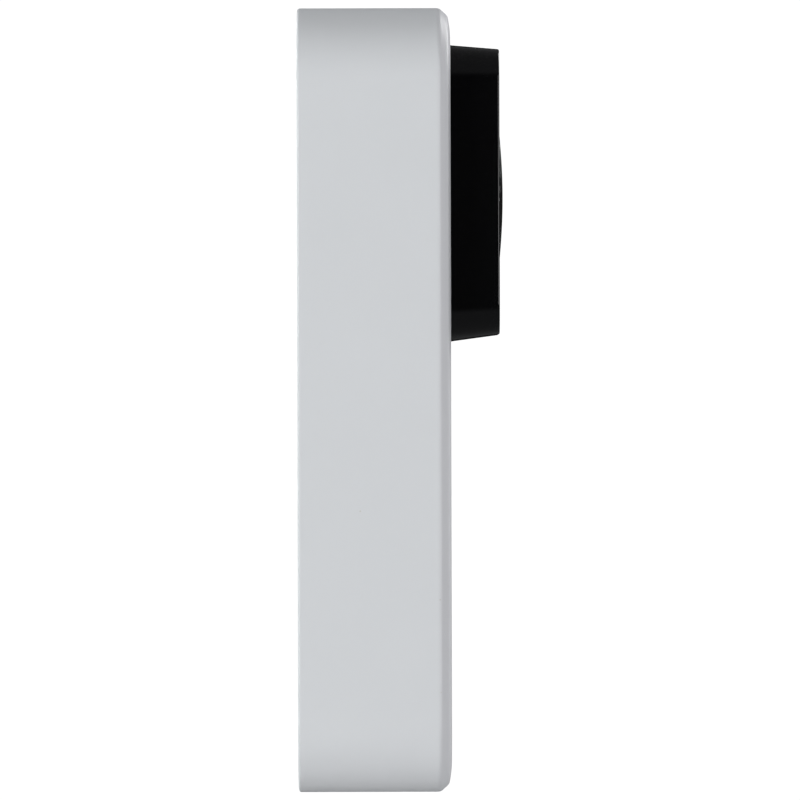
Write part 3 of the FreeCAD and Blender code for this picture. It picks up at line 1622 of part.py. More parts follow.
def make_speaker_leads():
    """Two insulated wires from the loudspeaker up to the main board, each with one S bend."""
    leads = Piece("speaker_leads")
    entry_level = main_board_front + connector_rise / 2
    bend = (lead_level - entry_level) / 2
    straight_end = main_board_bottom + cable_border
    for side in SIDES:
        across = side * lead_spread
        path = leads.outline("side", across)
        start = path.spot((lead_level, speaker_high))
        low = path.spot((lead_level, lead_bend_height))
        middle = path.spot((lead_level - bend, lead_bend_height + bend))
        high = path.spot((entry_level, lead_bend_height + 2 * bend))
        finish = path.spot((entry_level, straight_end))
        first_centre = (lead_level - bend, lead_bend_height)
        second_centre = (lead_level - bend, lead_bend_height + 2 * bend)
        radius = bend.number
        up = Vector(0, 0, 1)
        sketch = path.sketch
        first = sketch.addGeometry(Part.LineSegment(start, low))
        lower = Part.Circle(path.spot(first_centre), up, radius)
        upper = Part.Circle(path.spot(second_centre), up, radius)
        arc_in = sketch.addGeometry(Part.ArcOfCircle(lower, math.pi / 2, math.pi))
        arc_out = sketch.addGeometry(Part.ArcOfCircle(upper, -math.pi / 2, 0))
        last = sketch.addGeometry(Part.LineSegment(high, finish))
        sketch.addConstraint(Sketcher.Constraint("Tangent", first, END, arc_in, END))
        sketch.addConstraint(Sketcher.Constraint("Tangent", arc_in, START, arc_out, START))
        sketch.addConstraint(Sketcher.Constraint("Tangent", arc_out, END, last, START))
        path.pin(first, START, (lead_level, speaker_high))
        path.pin(arc_in, CENTRE, first_centre)
        path.pin(arc_out, CENTRE, second_centre)
        path.pin(last, END, (entry_level, straight_end))
        section = leads.outline("level", speaker_high).circle((across, lead_level), lead_radius)
        pipe = leads.feature("AdditivePipe", section)
        pipe.Spine = (sketch, [])


make_wall_bracket()
make_bracket_insert()
make_security_screw()
make_front_housing()
make_back_cover()
make_back_gasket()
make_cover_screws()
make_camera_shell()
make_camera_shell_seal()
make_camera_shell_screws()
make_front_window()
make_lens_dome()
make_dome_seal()
make_light_baffle()
make_lens()
make_camera_board()
make_lens_holder()
make_night_filter()
make_ir_led_board()
make_microphone()
make_main_board()
make_board_parts()
make_connectors()
make_flat_cables()
make_terminals()
make_reset()
make_button_light_ring()
make_button_cap()
make_button_membrane()
make_button_switch()
make_button_frame()
make_speaker()
make_speaker_leads()

# ---------------------------------------------------------------- checks, then one file each

doc.recompute()
for thing in doc.Objects:
    if "Invalid" in thing.State or "Error" in thing.State:
        raise RuntimeError("%s failed: %s" % (thing.Label, thing.State))
for before, after in cuts:
    if abs(before.Shape.Volume - after.Shape.Volume) < TINY:
        raise RuntimeError("%s in %s changes nothing" % (after.Name, after.getParentGeoFeatureGroup().Label))
for piece in pieces:
    if piece.Shape.isNull() or not piece.Shape.isValid():
        raise RuntimeError("%s has no valid shape" % piece.Label)

os.makedirs("parts", exist_ok=True)
for piece in pieces:
    piece.Shape.exportStep(os.path.join("parts", piece.Label + ".step"))
    print("%-22s %d solid(s), %.1f mm3" % (piece.Label, len(piece.Shape.Solids), piece.Shape.Volume))
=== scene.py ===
import json
import math

import bmesh
import bpy
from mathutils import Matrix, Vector


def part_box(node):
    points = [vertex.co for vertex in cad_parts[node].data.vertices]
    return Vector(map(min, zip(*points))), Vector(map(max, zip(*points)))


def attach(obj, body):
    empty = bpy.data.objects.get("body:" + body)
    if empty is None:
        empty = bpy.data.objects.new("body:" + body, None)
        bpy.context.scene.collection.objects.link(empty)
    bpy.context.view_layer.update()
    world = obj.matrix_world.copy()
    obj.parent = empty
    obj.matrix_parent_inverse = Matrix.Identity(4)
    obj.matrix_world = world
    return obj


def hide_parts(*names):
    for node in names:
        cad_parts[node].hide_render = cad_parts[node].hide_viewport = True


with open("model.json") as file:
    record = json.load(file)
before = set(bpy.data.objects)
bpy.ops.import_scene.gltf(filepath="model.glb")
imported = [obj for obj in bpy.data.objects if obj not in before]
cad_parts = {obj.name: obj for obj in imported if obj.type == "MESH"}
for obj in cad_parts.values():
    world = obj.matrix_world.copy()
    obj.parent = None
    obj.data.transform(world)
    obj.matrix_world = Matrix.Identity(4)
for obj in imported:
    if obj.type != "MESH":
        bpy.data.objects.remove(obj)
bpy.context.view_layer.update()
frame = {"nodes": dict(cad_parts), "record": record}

bl_info = {
    "name": "Video Doorbell",
    "version": (1, 0, 0),
    "blender": (4, 5, 0),
    "location": "View3D > Sidebar > Doorbell",
    "description": "A slim wall-mounted video doorbell with its bracket, in a plain studio",
    "category": "Object",
}

# Lengths are in metres.  +Z is up, the front looks along -Y, and a depth is the distance
# out from the wall, so a point at depth d stands at y = -d.
MM = 0.001
# Roundings of small edges
FINE, SOFT, BROAD = 0.1 * MM, 0.15 * MM, 0.2 * MM
# Sides of turned pieces and of small holes, and steps in one corner of the larger blocks
WIDE_SIDES, LENS_SIDES, KEY_SIDES, PORT_SIDES, BULB_SIDES = 128, 96, 48, 40, 32
BODY_STEPS, ISLAND_STEPS = 28, 24
SLOTS = {row["node"]: row["material_slot"] for row in frame["record"]["subparts"]}
BODY_OF = {
    node: body
    for body, members in frame["record"]["behaviour"]["bodies"].items()
    for node in members
}

# ---------------------------------------------------------------- user settings


def length(name, description, millimetres):
    return bpy.props.FloatProperty(
        name=name,
        description=description,
        default=millimetres * MM,
        min=0.0,
        precision=5,
        unit="LENGTH",
        subtype="DISTANCE",
    )


def strength(name, description):
    return bpy.props.FloatProperty(name=name, description=description, default=1.0, min=0.0)


def colour(name, description, red, green, blue):
    return bpy.props.FloatVectorProperty(
        name=name,
        description=description,
        default=(red, green, blue),
        min=0.0,
        max=1.0,
        size=3,
        subtype="COLOR",
    )


class HousingSettings(bpy.types.PropertyGroup):
    corner: length("Corner", "Corner radius of the body seen from the front", 12.0)
    bevel_inset: length("Bevel inset", "How far the front bevel comes in from the side", 1.3)
    bevel_drop: length("Bevel drop", "Depth of the front bevel, measured from the front", 1.85)
    bevel_round: length("Bevel rounding", "Rounding of the bevel's two edges", 0.5)
    crown_rise: length("Crown rise", "How far the front swells between bevel and flat", 0.45)
    crown_width: length("Crown width", "Width of the swell inside the bevel", 4.0)
    back_round: length("Back rounding", "Rounding of the edge against the wall", 0.5)


class IslandSettings(bpy.types.PropertyGroup):
    corner: length("Corner", "Corner radius of the camera island at its base", 6.2)
    front_round: length("Front rounding", "Rounding of the island's front edge", 0.3)
    window_rim: length("Window rim", "Width of the island's rim round the window", 1.0)
    window_break: length("Window edge", "Broken edge of the window", 0.12)
    dome_gap: length("Dome gap", "Fine line between the dome and the window", 0.08)
    port_radius: length("Port radius", "Radius of the microphone's port", 0.5)
    port_drop: length("Port drop", "How far the port lies under the lens", 15.2)
    barrel_neck: length("Barrel neck", "Radius of the lens barrel behind its head", 6.0)
    barrel_bore: length("Barrel bore", "Radius of the hole through the lens barrel", 4.4)
    barrel_head: length("Barrel head", "Length of the lens barrel's head", 6.3)
    element_thick: length("Front element", "Thickness of the front lens element", 1.5)
    rear_element: length("Rear element", "Thickness of the rear lens element", 2.2)
    baffle_wall: length("Baffle wall", "Wall thickness of the light baffle", 1.1)
    dome_rise: length("Dome rise", "Height of the lens dome's crown over its rim", 0.5)
    dome_round: length("Dome rounding", "Rounding of the dome's rim", 0.15)


class ButtonSettings(bpy.types.PropertyGroup):
    dish: length("Dish", "How far the middle of the call button sinks in", 0.15)
    edge: length("Edge", "Rounding of the call button's edge", 0.3)
    radius: length("Radius", "Radius of the call button", 9.4)
    skin: length("Skin", "Thickness of the button's face", 1.6)
    wall: length("Wall", "Thickness of the button's side wall", 1.0)
    stem: length("Stem", "Radius of the stem behind the button", 2.2)
    flange_front: length("Flange depth", "Depth of the front of the button's flange", 21.75)
    slack: length("Slack", "Gap between the cap's flange and the ring at rest", 0.02)
    flange_thick: length("Flange thickness", "Thickness of the button's flange", 1.0)
    ring_band: length("Ring band", "Width of the light ring", 2.0)
    ring_edge: length("Ring edge", "Rounding of the light ring's edges", 0.1)
    ring_flange: length("Ring flange", "How far the light ring's flange stands out", 1.5)
    ring_flange_thick: length("Ring flange thickness", "Thickness of that flange", 1.2)
    ring_skirt: length("Ring skirt", "Wall thickness of the light ring's skirt", 0.8)
    lamp_reach: length("Lamp reach", "Distance of the ring's lamps from the middle", 11.1)


class MetalworkSettings(bpy.types.PropertyGroup):
    thread_height: length("Thread height", "Height of the screws' threads", 0.16)
    thread_pitch: length("Thread pitch", "Distance from one turn of a thread to the next", 0.5)
    edge_break: length("Edge break", "Small bevel on moulded and pressed edges", 0.12)
    bracket_rib: length("Bracket rib", "Thickness of the rib down the bracket's back", 2.4)
    cover_level: length("Cover level", "Depth of the back cover's plate", 5.6)
    reset_radius: length("Reset radius", "Radius of the reset button", 1.5)
    reset_flange: length("Reset flange", "Depth of the reset button's flange", 7.45)
    wire_pitch: length("Wire pitch", "Distance between wires of the speaker's mesh", 0.8)
    seed: bpy.props.IntProperty(
        name="Seed", description="Chooses how the screws have stopped turning", default=7
    )


class FinishSettings(bpy.types.PropertyGroup):
    body: colour("Body", "Satin white of the body", 0.79, 0.8, 0.825)
    button: colour("Button", "Semi-gloss white of the call button", 0.8, 0.805, 0.815)
    backing: colour("Backing", "Dark grey of the bracket and the back cover", 0.11, 0.112, 0.118)
    island: colour("Island", "Polished black of the camera island", 0.0022, 0.0022, 0.0025)
    solder_mask: colour("Solder mask", "Green of the circuit boards", 0.012, 0.085, 0.045)


class StudioSettings(bpy.types.PropertyGroup):
    front_left: strength("Front left", "Strength of the light in front on the left")
    back_left: strength("Back left", "Strength of the light behind on the left")
    right: strength("Right", "Strength of the two lights on the right")
    top: strength("Top", "Strength of the light overhead")
    distance: length("Camera distance", "How far the camera stands from the body", 1500.0)
    frame_height: length("Frame height", "Height of the view at the body", 132.73)
    look_depth: length("Look depth", "Depth in the middle of the view", 16.93)
    roll: bpy.props.FloatProperty(
        name="Roll",
        description="How far the camera leans",
        default=math.radians(-0.15),
        unit="ROTATION",
        subtype="ANGLE",
    )
    floor_drop: length("Floor drop", "How far the floor lies under the middle of the body", 110.0)


# ---------------------------------------------------------------- making meshes


def piece_from(name, mesh_work):
    """Make an object at the origin from finished mesh work, with its faces turned outwards."""
    bmesh.ops.recalc_face_normals(mesh_work, faces=mesh_work.faces)
    mesh = bpy.data.meshes.new(name)
    mesh_work.to_mesh(mesh)
    mesh_work.free()
    piece = bpy.data.objects.new(name, mesh)
    bpy.context.scene.collection.objects.link(piece)
    return piece


def bake(piece):
    """Turn a piece's modifiers into plain mesh."""
    graph = bpy.context.evaluated_depsgraph_get()
    mesh = bpy.data.meshes.new_from_object(piece.evaluated_get(graph))
    piece.modifiers.clear()
    piece.data = mesh
    mesh.name = piece.name
    return piece


def add_rings(work, rings, looped=False):
    """Join rings of points with faces, and close the two ends or join last to first."""
    rows = [[work.verts.new(point) for point in ring] for ring in rings]
    pairs = list(zip(rows, rows[1:]))
    if looped:
        pairs.append((rows[-1], rows[0]))
    count = len(rows[0])
    for back, front in pairs:
        for index in range(count):
            after = (index + 1) % count
            work.faces.new((back[index], back[after], front[after], front[index]))
    if not looped:
        work.faces.new(rows[0][::-1])
        work.faces.new(rows[-1])


def polar_point(centre, radius, angle, depth):
    """A point at an angle and a radius round a centre (across, up), at one depth."""
    return Vector(
        (centre[0] + radius * math.cos(angle), -depth, centre[1] + radius * math.sin(angle))
    )


def upright_ring(low, high, corner, depth, steps):
    """Points of an upright rectangle with round corners, at one depth."""
    points = []
    for across, up, first in ((1, 1, 0), (-1, 1, 90), (-1, -1, 180), (1, -1, 270)):
        centre_x = (high[0] if across > 0 else low[0]) - across * corner
        centre_z = (high[1] if up > 0 else low[1]) - up * corner
        for step in range(steps + 1):
            angle = math.radians(first + 90 * step / steps)
            points.append(polar_point((centre_x, centre_z), corner, angle, depth))
    return points


def round_ring(centre, radius, depth, around):
    """Points of a circle round a centre (across, up), at one depth."""
    return [
        polar_point(centre, radius, math.tau * step / around, depth) for step in range(around)
    ]


def shares(count):
    """Equal steps up to one, without nought."""
    return [index / count for index in range(1, count + 1)]


def rounded_path(corners, looped=False):
    """A path through (a, b, rounding) corners, with each corner rounded off."""
    steps = 5
    path = []
    count = len(corners)
    for index, (a, b, rounding) in enumerate(corners):
        here = Vector((a, b))
        if rounding <= 0 or (not looped and index in (0, count - 1)):
            path.append(here)
            continue
        before = Vector(corners[index - 1][:2]) - here
        after = Vector(corners[(index + 1) % count][:2]) - here
        reach_in = min(rounding, before.length / 2)
        reach_out = min(rounding, after.length / 2)
        start = here + before.normalized() * reach_in
        finish = here + after.normalized() * reach_out
        for step in range(steps + 1):
            share = step / steps
            path.append(
                start * (1 - share) ** 2 + here * 2 * share * (1 - share) + finish * share**2
            )
    return path


def turned_piece(name, centre, around, *paths):
    """Turn paths of (radius, depth, rounding) corners round an axis that points at the front.

    A path that starts on the axis ends there too, and any other is closed into a ring.
    """
    least = 0.002 * MM
    work = bmesh.new()
    for corners in paths:
        looped = corners[0][0] > 0
        path = rounded_path(corners, looped)
        rings = [round_ring(centre, max(point.x, least), point.y, around) for point in path]
        add_rings(work, rings, looped=looped)
    return piece_from(name, work)


def node_copy(node, name):
    """A copy of a CAD node with its loose triangles joined up."""
    piece = bpy.data.objects.new(name, frame["nodes"][node].data.copy())
    bpy.context.scene.collection.objects.link(piece)
    work = bmesh.new()
    work.from_mesh(piece.data)
    bmesh.ops.remove_doubles(work, verts=work.verts, dist=0.0005 * MM)
    work.to_mesh(piece.data)
    work.free()
    piece.data.materials.clear()
    return piece


def combine(piece, tool, operation):
    """Cut a tool out of a piece, or keep only what both share, and drop the tool."""
    modifier = piece.modifiers.new("combine", "BOOLEAN")
    modifier.operation = operation
    modifier.object = tool
    modifier.solver = "MANIFOLD"
    bake(piece)
    bpy.data.objects.remove(tool)
    return piece


def outline_gap(x, z, low, high, corner):
    """How far a point is inside a round-cornered outline, and the way straight out of it."""
    middle = ((low[0] + high[0]) / 2, (low[1] + high[1]) / 2)
    beyond_x = abs(x - middle[0]) - ((high[0] - low[0]) / 2 - corner)
    beyond_z = abs(z - middle[1]) - ((high[1] - low[1]) / 2 - corner)
    side_x = math.copysign(1, x - middle[0])
    side_z = math.copysign(1, z - middle[1])
    if beyond_x > 0 and beyond_z > 0:
        reach = math.hypot(beyond_x, beyond_z)
        return corner - reach, (side_x * beyond_x / reach, side_z * beyond_z / reach)
    if beyond_x > beyond_z:
        return corner - beyond_x, (side_x, 0)
    return corner - beyond_z, (0, side_z)


def grow_skin(piece, outline_at, lowest, highest):
    """Swell a copy's outer faces a little, so that a smooth block can trim them all round."""
    reach, growth = 0.1 * MM, 0.08 * MM
    for vertex in piece.data.vertices:
        depth = -vertex.co.y
        gap, way = outline_gap(vertex.co.x, vertex.co.z, *outline_at(depth))
        if gap < reach:
            vertex.co.x += way[0] * growth
            vertex.co.z += way[1] * growth
        if depth > highest - reach:
            vertex.co.y -= growth
        if depth < lowest + reach:
            vertex.co.y += growth


def smooth(piece, degrees=32):
    """Shade a piece smooth across small angles, with flat faces left looking flat."""
    piece.data.shade_smooth()
    piece.data.set_sharp_from_angle(angle=math.radians(degrees))
    modifier = piece.modifiers.new("normals", "WEIGHTED_NORMAL")
    modifier.keep_sharp = True
    modifier.weight = 80
    return bake(piece)


def break_edges(piece, width):
    """Bevel a piece's sharp edges, once its flat faces are whole again."""
    work = bmesh.new()
    work.from_mesh(piece.data)
    bmesh.ops.dissolve_limit(
        work, angle_limit=math.radians(0.6), verts=work.verts, edges=work.edges
    )
    work.to_mesh(piece.data)
    work.free()
    modifier = piece.modifiers.new("edges", "BEVEL")
    modifier.limit_method = "ANGLE"
    modifier.angle_limit = math.radians(38)
    modifier.width = width
    modifier.segments = 2
    modifier.use_clamp_overlap = True
    return bake(piece)


def settle(piece, *nodes):
    """Give a finished piece its finish, its body and the CAD nodes it stands for."""
    slot = SLOTS[nodes[0]]
    piece.data.materials.clear()
    piece.data.materials.append(finish(slot))
    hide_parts(*nodes)
    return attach(piece, BODY_OF[nodes[0]])


# ---------------------------------------------------------------- node trees


class Tree:
    """Short calls for adding nodes to a tree and joining them."""

    def __init__(self, tree):
        self.tree = tree

    def feed(self, socket, value):
        if isinstance(value, bpy.types.NodeSocket):
            self.tree.links.new(value, socket)
        else:
            socket.default_value = value

    def add(self, kind, inputs=None, **settings):
        node = self.tree.nodes.new(kind)
        for name, value in settings.items():
            setattr(node, name, value)
        for key, value in (inputs or {}).items():
            self.feed(node.inputs[key], value)
        return node

    def maths(self, operation, *values):
        inputs = dict(enumerate(values))
        return self.add("ShaderNodeMath", inputs, operation=operation).outputs[0]

    def vector(self, **parts):
        return self.add("ShaderNodeCombineXYZ", parts).outputs[0]

    def parts(self, vector):
        return self.add("ShaderNodeSeparateXYZ", {0: vector}).outputs

    def noise(self, place, scale, detail=2.0, roughness=0.5):
        inputs = {"Vector": place, "Scale": scale, "Detail": detail, "Roughness": roughness}
        return self.add("ShaderNodeTexNoise", inputs).outputs["Fac"]

    def blend(self, share, first, second):
        node = self.add("ShaderNodeMix", {0: share}, data_type="RGBA")
        self.feed(node.inputs[6], first)
        self.feed(node.inputs[7], second)
        return node.outputs[2]

    def step(self, value, low, high):
        """Nought below low, one above high, and smooth between."""
        inputs = {0: value, 1: low, 2: high}
        return self.add("ShaderNodeMapRange", inputs, interpolation_type="SMOOTHSTEP").outputs[0]


def new_tree(kind, name, sockets):
    """A node group with named inputs and outputs: (name, socket type, default or None)."""
    group = bpy.data.node_groups.new(name, kind)
    for label, socket_type, default in sockets:
        way = "OUTPUT" if default == "out" else "INPUT"
        socket = group.interface.new_socket(label, in_out=way, socket_type=socket_type)
        if way == "INPUT" and default is not None:
            socket.default_value = default
    tree = Tree(group)
    return tree, tree.add("NodeGroupInput").outputs, tree.add("NodeGroupOutput").inputs


GRAIN = "moulded grain"
LINES = "brushed lines"
CELLS = "packed cells"
COIL = "close turns"
TRACKS = "circuit tracks"


def effect(name, fine, broad):
    """A shader group that reads a place and puts out a tone and a height."""
    sockets = [("Place", "NodeSocketVector", None)]
    sockets += [("Fine", "NodeSocketFloat", fine), ("Broad", "NodeSocketFloat", broad)]
    sockets += [("Tone", "NodeSocketFloat", "out"), ("Height", "NodeSocketFloat", "out")]
    return new_tree("ShaderNodeTree", name, sockets)


def put_out(tree, made, mask):
    """Give an effect's tone and height the same mask."""
    tree.feed(made["Tone"], mask)
    tree.feed(made["Height"], mask)


def moulded_grain():
    tree, given, made = effect(GRAIN, 2600.0, 70.0)
    fine = tree.noise(given["Place"], given["Fine"], 3.0, 0.6)
    broad = tree.noise(given["Place"], given["Broad"], 2.0)
    tree.feed(made["Tone"], broad)
    tree.feed(made["Height"], tree.maths("MULTIPLY_ADD", broad, 0.5, fine))


def brushed_lines():
    tree, given, made = effect(LINES, 3200.0, 160.0)
    stretch = {"Vector": given["Place"], "Scale": (1.0, 1.0, 0.06)}
    drawn = tree.add("ShaderNodeMapping", stretch).outputs[0]
    lines = tree.noise(drawn, given["Fine"], 3.0, 0.7)
    blotches = tree.maths("MULTIPLY", tree.noise(given["Place"], given["Broad"], 2.0), 0.5)
    tree.feed(made["Tone"], tree.maths("MULTIPLY_ADD", lines, 0.5, blotches))
    tree.feed(made["Height"], lines)


def packed_cells():
    tree, given, made = effect(CELLS, 2400.0, 120.0)
    cells = tree.add("ShaderNodeTexVoronoi", {"Vector": given["Place"], "Scale": given["Fine"]})
    broad = tree.maths("MULTIPLY", tree.noise(given["Place"], given["Broad"], 2.0), 0.4)
    tree.feed(made["Tone"], tree.maths("MULTIPLY_ADD", cells.outputs["Distance"], 0.6, broad))
    tree.feed(made["Height"], tree.maths("SUBTRACT", 1.0, cells.outputs["Distance"]))


def close_turns():
    """Fine parallel ridges, as of wound wire or the tracks of a flat cable."""
    tree, given, made = effect(COIL, 2500.0, 100.0)
    parts = tree.parts(given["Place"])
    sway = tree.noise(given["Place"], given["Broad"], 1.0)
    along = tree.maths("MULTIPLY_ADD", parts[0], given["Fine"], tree.maths("MULTIPLY", sway, 0.6))
    wave = tree.maths("ABSOLUTE", tree.maths("SINE", tree.maths("MULTIPLY", along, math.pi)))
    put_out(tree, made, wave)


def circuit_tracks():
    """Kinked copper tracks under the solder mask, with round pads scattered among them."""
    tree, given, made = effect(TRACKS, 1500.0, 140.0)
    parts = tree.parts(given["Place"])
    kink = tree.maths("PINGPONG", parts[2], 0.0032)
    leaning = tree.maths("ADD", parts[0], kink)
    repeat = tree.maths("FRACT", tree.maths("MULTIPLY", leaning, given["Fine"]))
    beside = tree.maths("ABSOLUTE", tree.maths("SUBTRACT", repeat, 0.5))
    line = tree.maths("SUBTRACT", 1.0, tree.step(beside, 0.17, 0.22))
    where = tree.step(tree.noise(given["Place"], given["Broad"], 2.0), 0.47, 0.5)
    tracks = tree.maths("MULTIPLY", line, where)
    pads = tree.add(
        "ShaderNodeTexVoronoi",
        {"Vector": given["Place"], "Scale": tree.maths("MULTIPLY", given["Fine"], 0.22)},
    )
    dots = tree.maths("SUBTRACT", 1.0, tree.step(pads.outputs["Distance"], 0.1, 0.13))
    both = tree.maths("MAXIMUM", tracks, dots)
    put_out(tree, made, both)


def scattered_specks():
    """Few tiny specks, far apart."""
    tree, given, made = effect("scattered specks", 190.0, 0.75)
    spots = tree.add("ShaderNodeTexVoronoi", {"Vector": given["Place"], "Scale": given["Fine"]})
    small = tree.maths("SUBTRACT", 1.0, tree.step(spots.outputs["Distance"], 0.02, 0.035))
    chance = tree.add("ShaderNodeSeparateColor", {0: spots.outputs["Color"]}).outputs[0]
    few = tree.maths("GREATER_THAN", chance, given["Broad"])
    mask = tree.maths("MULTIPLY", small, few)
    put_out(tree, made, mask)


def settled_dust():
    """A thin film on faces that look up."""
    tree, given, made = effect("settled dust", 1800.0, 90.0)
    facing = tree.add("ShaderNodeNewGeometry").outputs["Normal"]
    up = tree.parts(facing)[2]
    grains = tree.noise(given["Place"], given["Fine"], 3.0, 0.7)
    drifts = tree.noise(given["Place"], given["Broad"], 2.0)
    film = tree.maths("MULTIPLY", tree.step(grains, 0.45, 0.75), drifts)
    mask = tree.maths("MULTIPLY", tree.step(up, 0.3, 1.0), film)
    put_out(tree, made, mask)


def wear_and_sheen_edges():
    """Where the surface turns sharply: rubbed wear, and a painted sheen along the edges."""
    tree, given, made = effect("rubbed edges", 0.00018, 300.0)
    turned = tree.add("ShaderNodeBevel", {"Radius": given["Fine"]}, samples=4).outputs[0]
    facing = tree.add("ShaderNodeNewGeometry").outputs["Normal"]
    same = tree.add("ShaderNodeVectorMath", {0: turned, 1: facing}, operation="DOT_PRODUCT")
    edge = tree.step(tree.maths("SUBTRACT", 1.0, same.outputs["Value"]), 0.01, 0.12)
    patchy = tree.step(tree.noise(given["Place"], given["Broad"], 3.0), 0.35, 0.65)
    mask = tree.maths("MULTIPLY", edge, patchy)
    put_out(tree, made, mask)


EFFECTS = (
    moulded_grain,
    brushed_lines,
    packed_cells,
    close_turns,
    circuit_tracks,
    scattered_specks,
    settled_dust,
    wear_and_sheen_edges,
)

# ---------------------------------------------------------------- finishes

METAL = {"Metallic": 1.0}

# Each finish: pattern, fine and broad scale per metre, colour and second colour, lowest and
# highest roughness, relief in metres, and then what is the same all over.
FINISHES = {
    "white_plastic": (GRAIN, 2600, 45, "body", 0.97, 0.38, 0.44, 5e-6, {}),
    "white_gloss": (GRAIN, 1500, 60, "button", 0.98, 0.2, 0.25, 1.5e-6, {}),
    "grey_plastic": (GRAIN, 3000, 80, "backing", 0.8, 0.5, 0.62, 9e-6, {}),
    "black_gloss": (GRAIN, 900, 50, "island", 1.5, 0.09, 0.13, 4e-7, {"Specular IOR Level": 0.45}),
    "black_matte": (GRAIN, 3400, 90, (0.016, 0.016, 0.017), 1.5, 0.5, 0.62, 9e-6, {}),
    "smoked_acrylic": (
        GRAIN, 500, 40, (0.002, 0.002, 0.0024), 1.3, 0.05, 0.07, 1e-7,
        {"Coat Weight": 0.5, "Coat Roughness": 0.02},
    ),
    "dome_glass": (
        GRAIN, 400, 40, (0.32, 0.325, 0.34), 0.9, 0.03, 0.06, 5e-8,
        {"Transmission Weight": 1.0, "IOR": 1.49},
    ),
    "lens_glass": (
        GRAIN, 300, 30, (0.55, 0.6, 0.78), 0.9, 0.01, 0.03, 2e-8,
        {
            "Transmission Weight": 0.85,
            "IOR": 1.6,
            "Coat Weight": 1.0,
            "Coat Tint": (0.5, 0.75, 0.6, 1),
        },
    ),
    "filter_glass": (
        GRAIN, 300, 30, (0.35, 0.62, 0.72), 0.9, 0.02, 0.05, 2e-8,
        {"Transmission Weight": 0.8},
    ),
    "silicone": (
        GRAIN, 1900, 120, (0.028, 0.028, 0.03), 1.4, 0.6, 0.72, 6e-6, {"Sheen Weight": 0.15},
    ),
    "clear_silicone": (
        GRAIN, 1200, 110, (0.72, 0.72, 0.73), 0.95, 0.38, 0.5, 4e-6,
        {"Transmission Weight": 0.35, "Subsurface Weight": 0.2},
    ),
    "foam": (CELLS, 3600, 160, (0.03, 0.03, 0.031), 2.2, 0.85, 0.95, 6e-5, {}),
    "light_diffuser": (
        GRAIN, 1400, 60, (0.84, 0.865, 0.89), 0.98, 0.28, 0.34, 1.5e-6,
        {"Subsurface Weight": 0.3, "Subsurface Scale": 0.001},
    ),
    "steel": (LINES, 4200, 260, (0.56, 0.565, 0.575), 0.8, 0.26, 0.4, 1.6e-6, METAL),
    "tinned_steel": (LINES, 2600, 140, (0.7, 0.7, 0.69), 0.88, 0.3, 0.46, 2e-6, METAL),
    "brass": (LINES, 4200, 200, (0.75, 0.56, 0.26), 0.85, 0.22, 0.36, 1.6e-6, METAL),
    "can_aluminium": (LINES, 3600, 160, (0.78, 0.78, 0.79), 0.9, 0.28, 0.4, 2e-6, METAL),
    "board": (TRACKS, 1500, 140, "solder_mask", 2.3, 0.32, 0.4, 1.8e-5, {"Coat Weight": 0.25}),
    "connector_plastic": (GRAIN, 2600, 200, (0.76, 0.72, 0.6), 0.92, 0.45, 0.56, 5e-6, {}),
    "flat_cable": (COIL, 1600, 60, (0.42, 0.2, 0.05), 0.55, 0.28, 0.36, 1e-5, {"Coat Weight": 0.3}),
    "lead_insulation": (GRAIN, 1500, 180, (0.45, 0.022, 0.02), 0.85, 0.4, 0.5, 4e-6, {}),
    "sensor": (GRAIN, 2200, 260, (0.06, 0.08, 0.1), 1.5, 0.18, 0.3, 3e-6, {}),
    "led_body": (GRAIN, 2400, 220, (0.84, 0.82, 0.66), 0.9, 0.3, 0.42, 3e-6, {}),
    "magnet": (CELLS, 5200, 240, (0.17, 0.17, 0.18), 1.5, 0.42, 0.6, 8e-6, {"Metallic": 0.55}),
    "copper_coil": (COIL, 5200, 200, (0.62, 0.25, 0.1), 0.45, 0.26, 0.42, 4e-5, {"Metallic": 0.85}),
    "cone_film": (CELLS, 2200, 130, (0.035, 0.034, 0.034), 1.7, 0.4, 0.55, 8e-6, {}),
}
SPECKED = {"white_plastic": (0.68, 0.67, 0.65), "white_gloss": (0.7, 0.69, 0.67)}
SPECK_SIZES = (190, 0.8)
DUST_COLOUR = (0.42, 0.4, 0.37, 1)
DUST_SIZES = (1800, 90)
DUSTED = {"grey_plastic": 0.35, "black_matte": 0.3, "silicone": 0.3, "black_gloss": 0.06}
# Sharp edges lightened in colour: rubbed wear and a painted sheen along them.
WEAR_AND_SHEEN_SIZES = (0.00018, 300)
WEAR_AND_SHEEN = {"grey_plastic": 1.5, "steel": 1.25, "tinned_steel": 1.15, "brass": 1.2}


def chosen_colour(entry):
    if isinstance(entry, str):
        return tuple(getattr(bpy.context.scene.doorbell_finish, entry))
    return entry


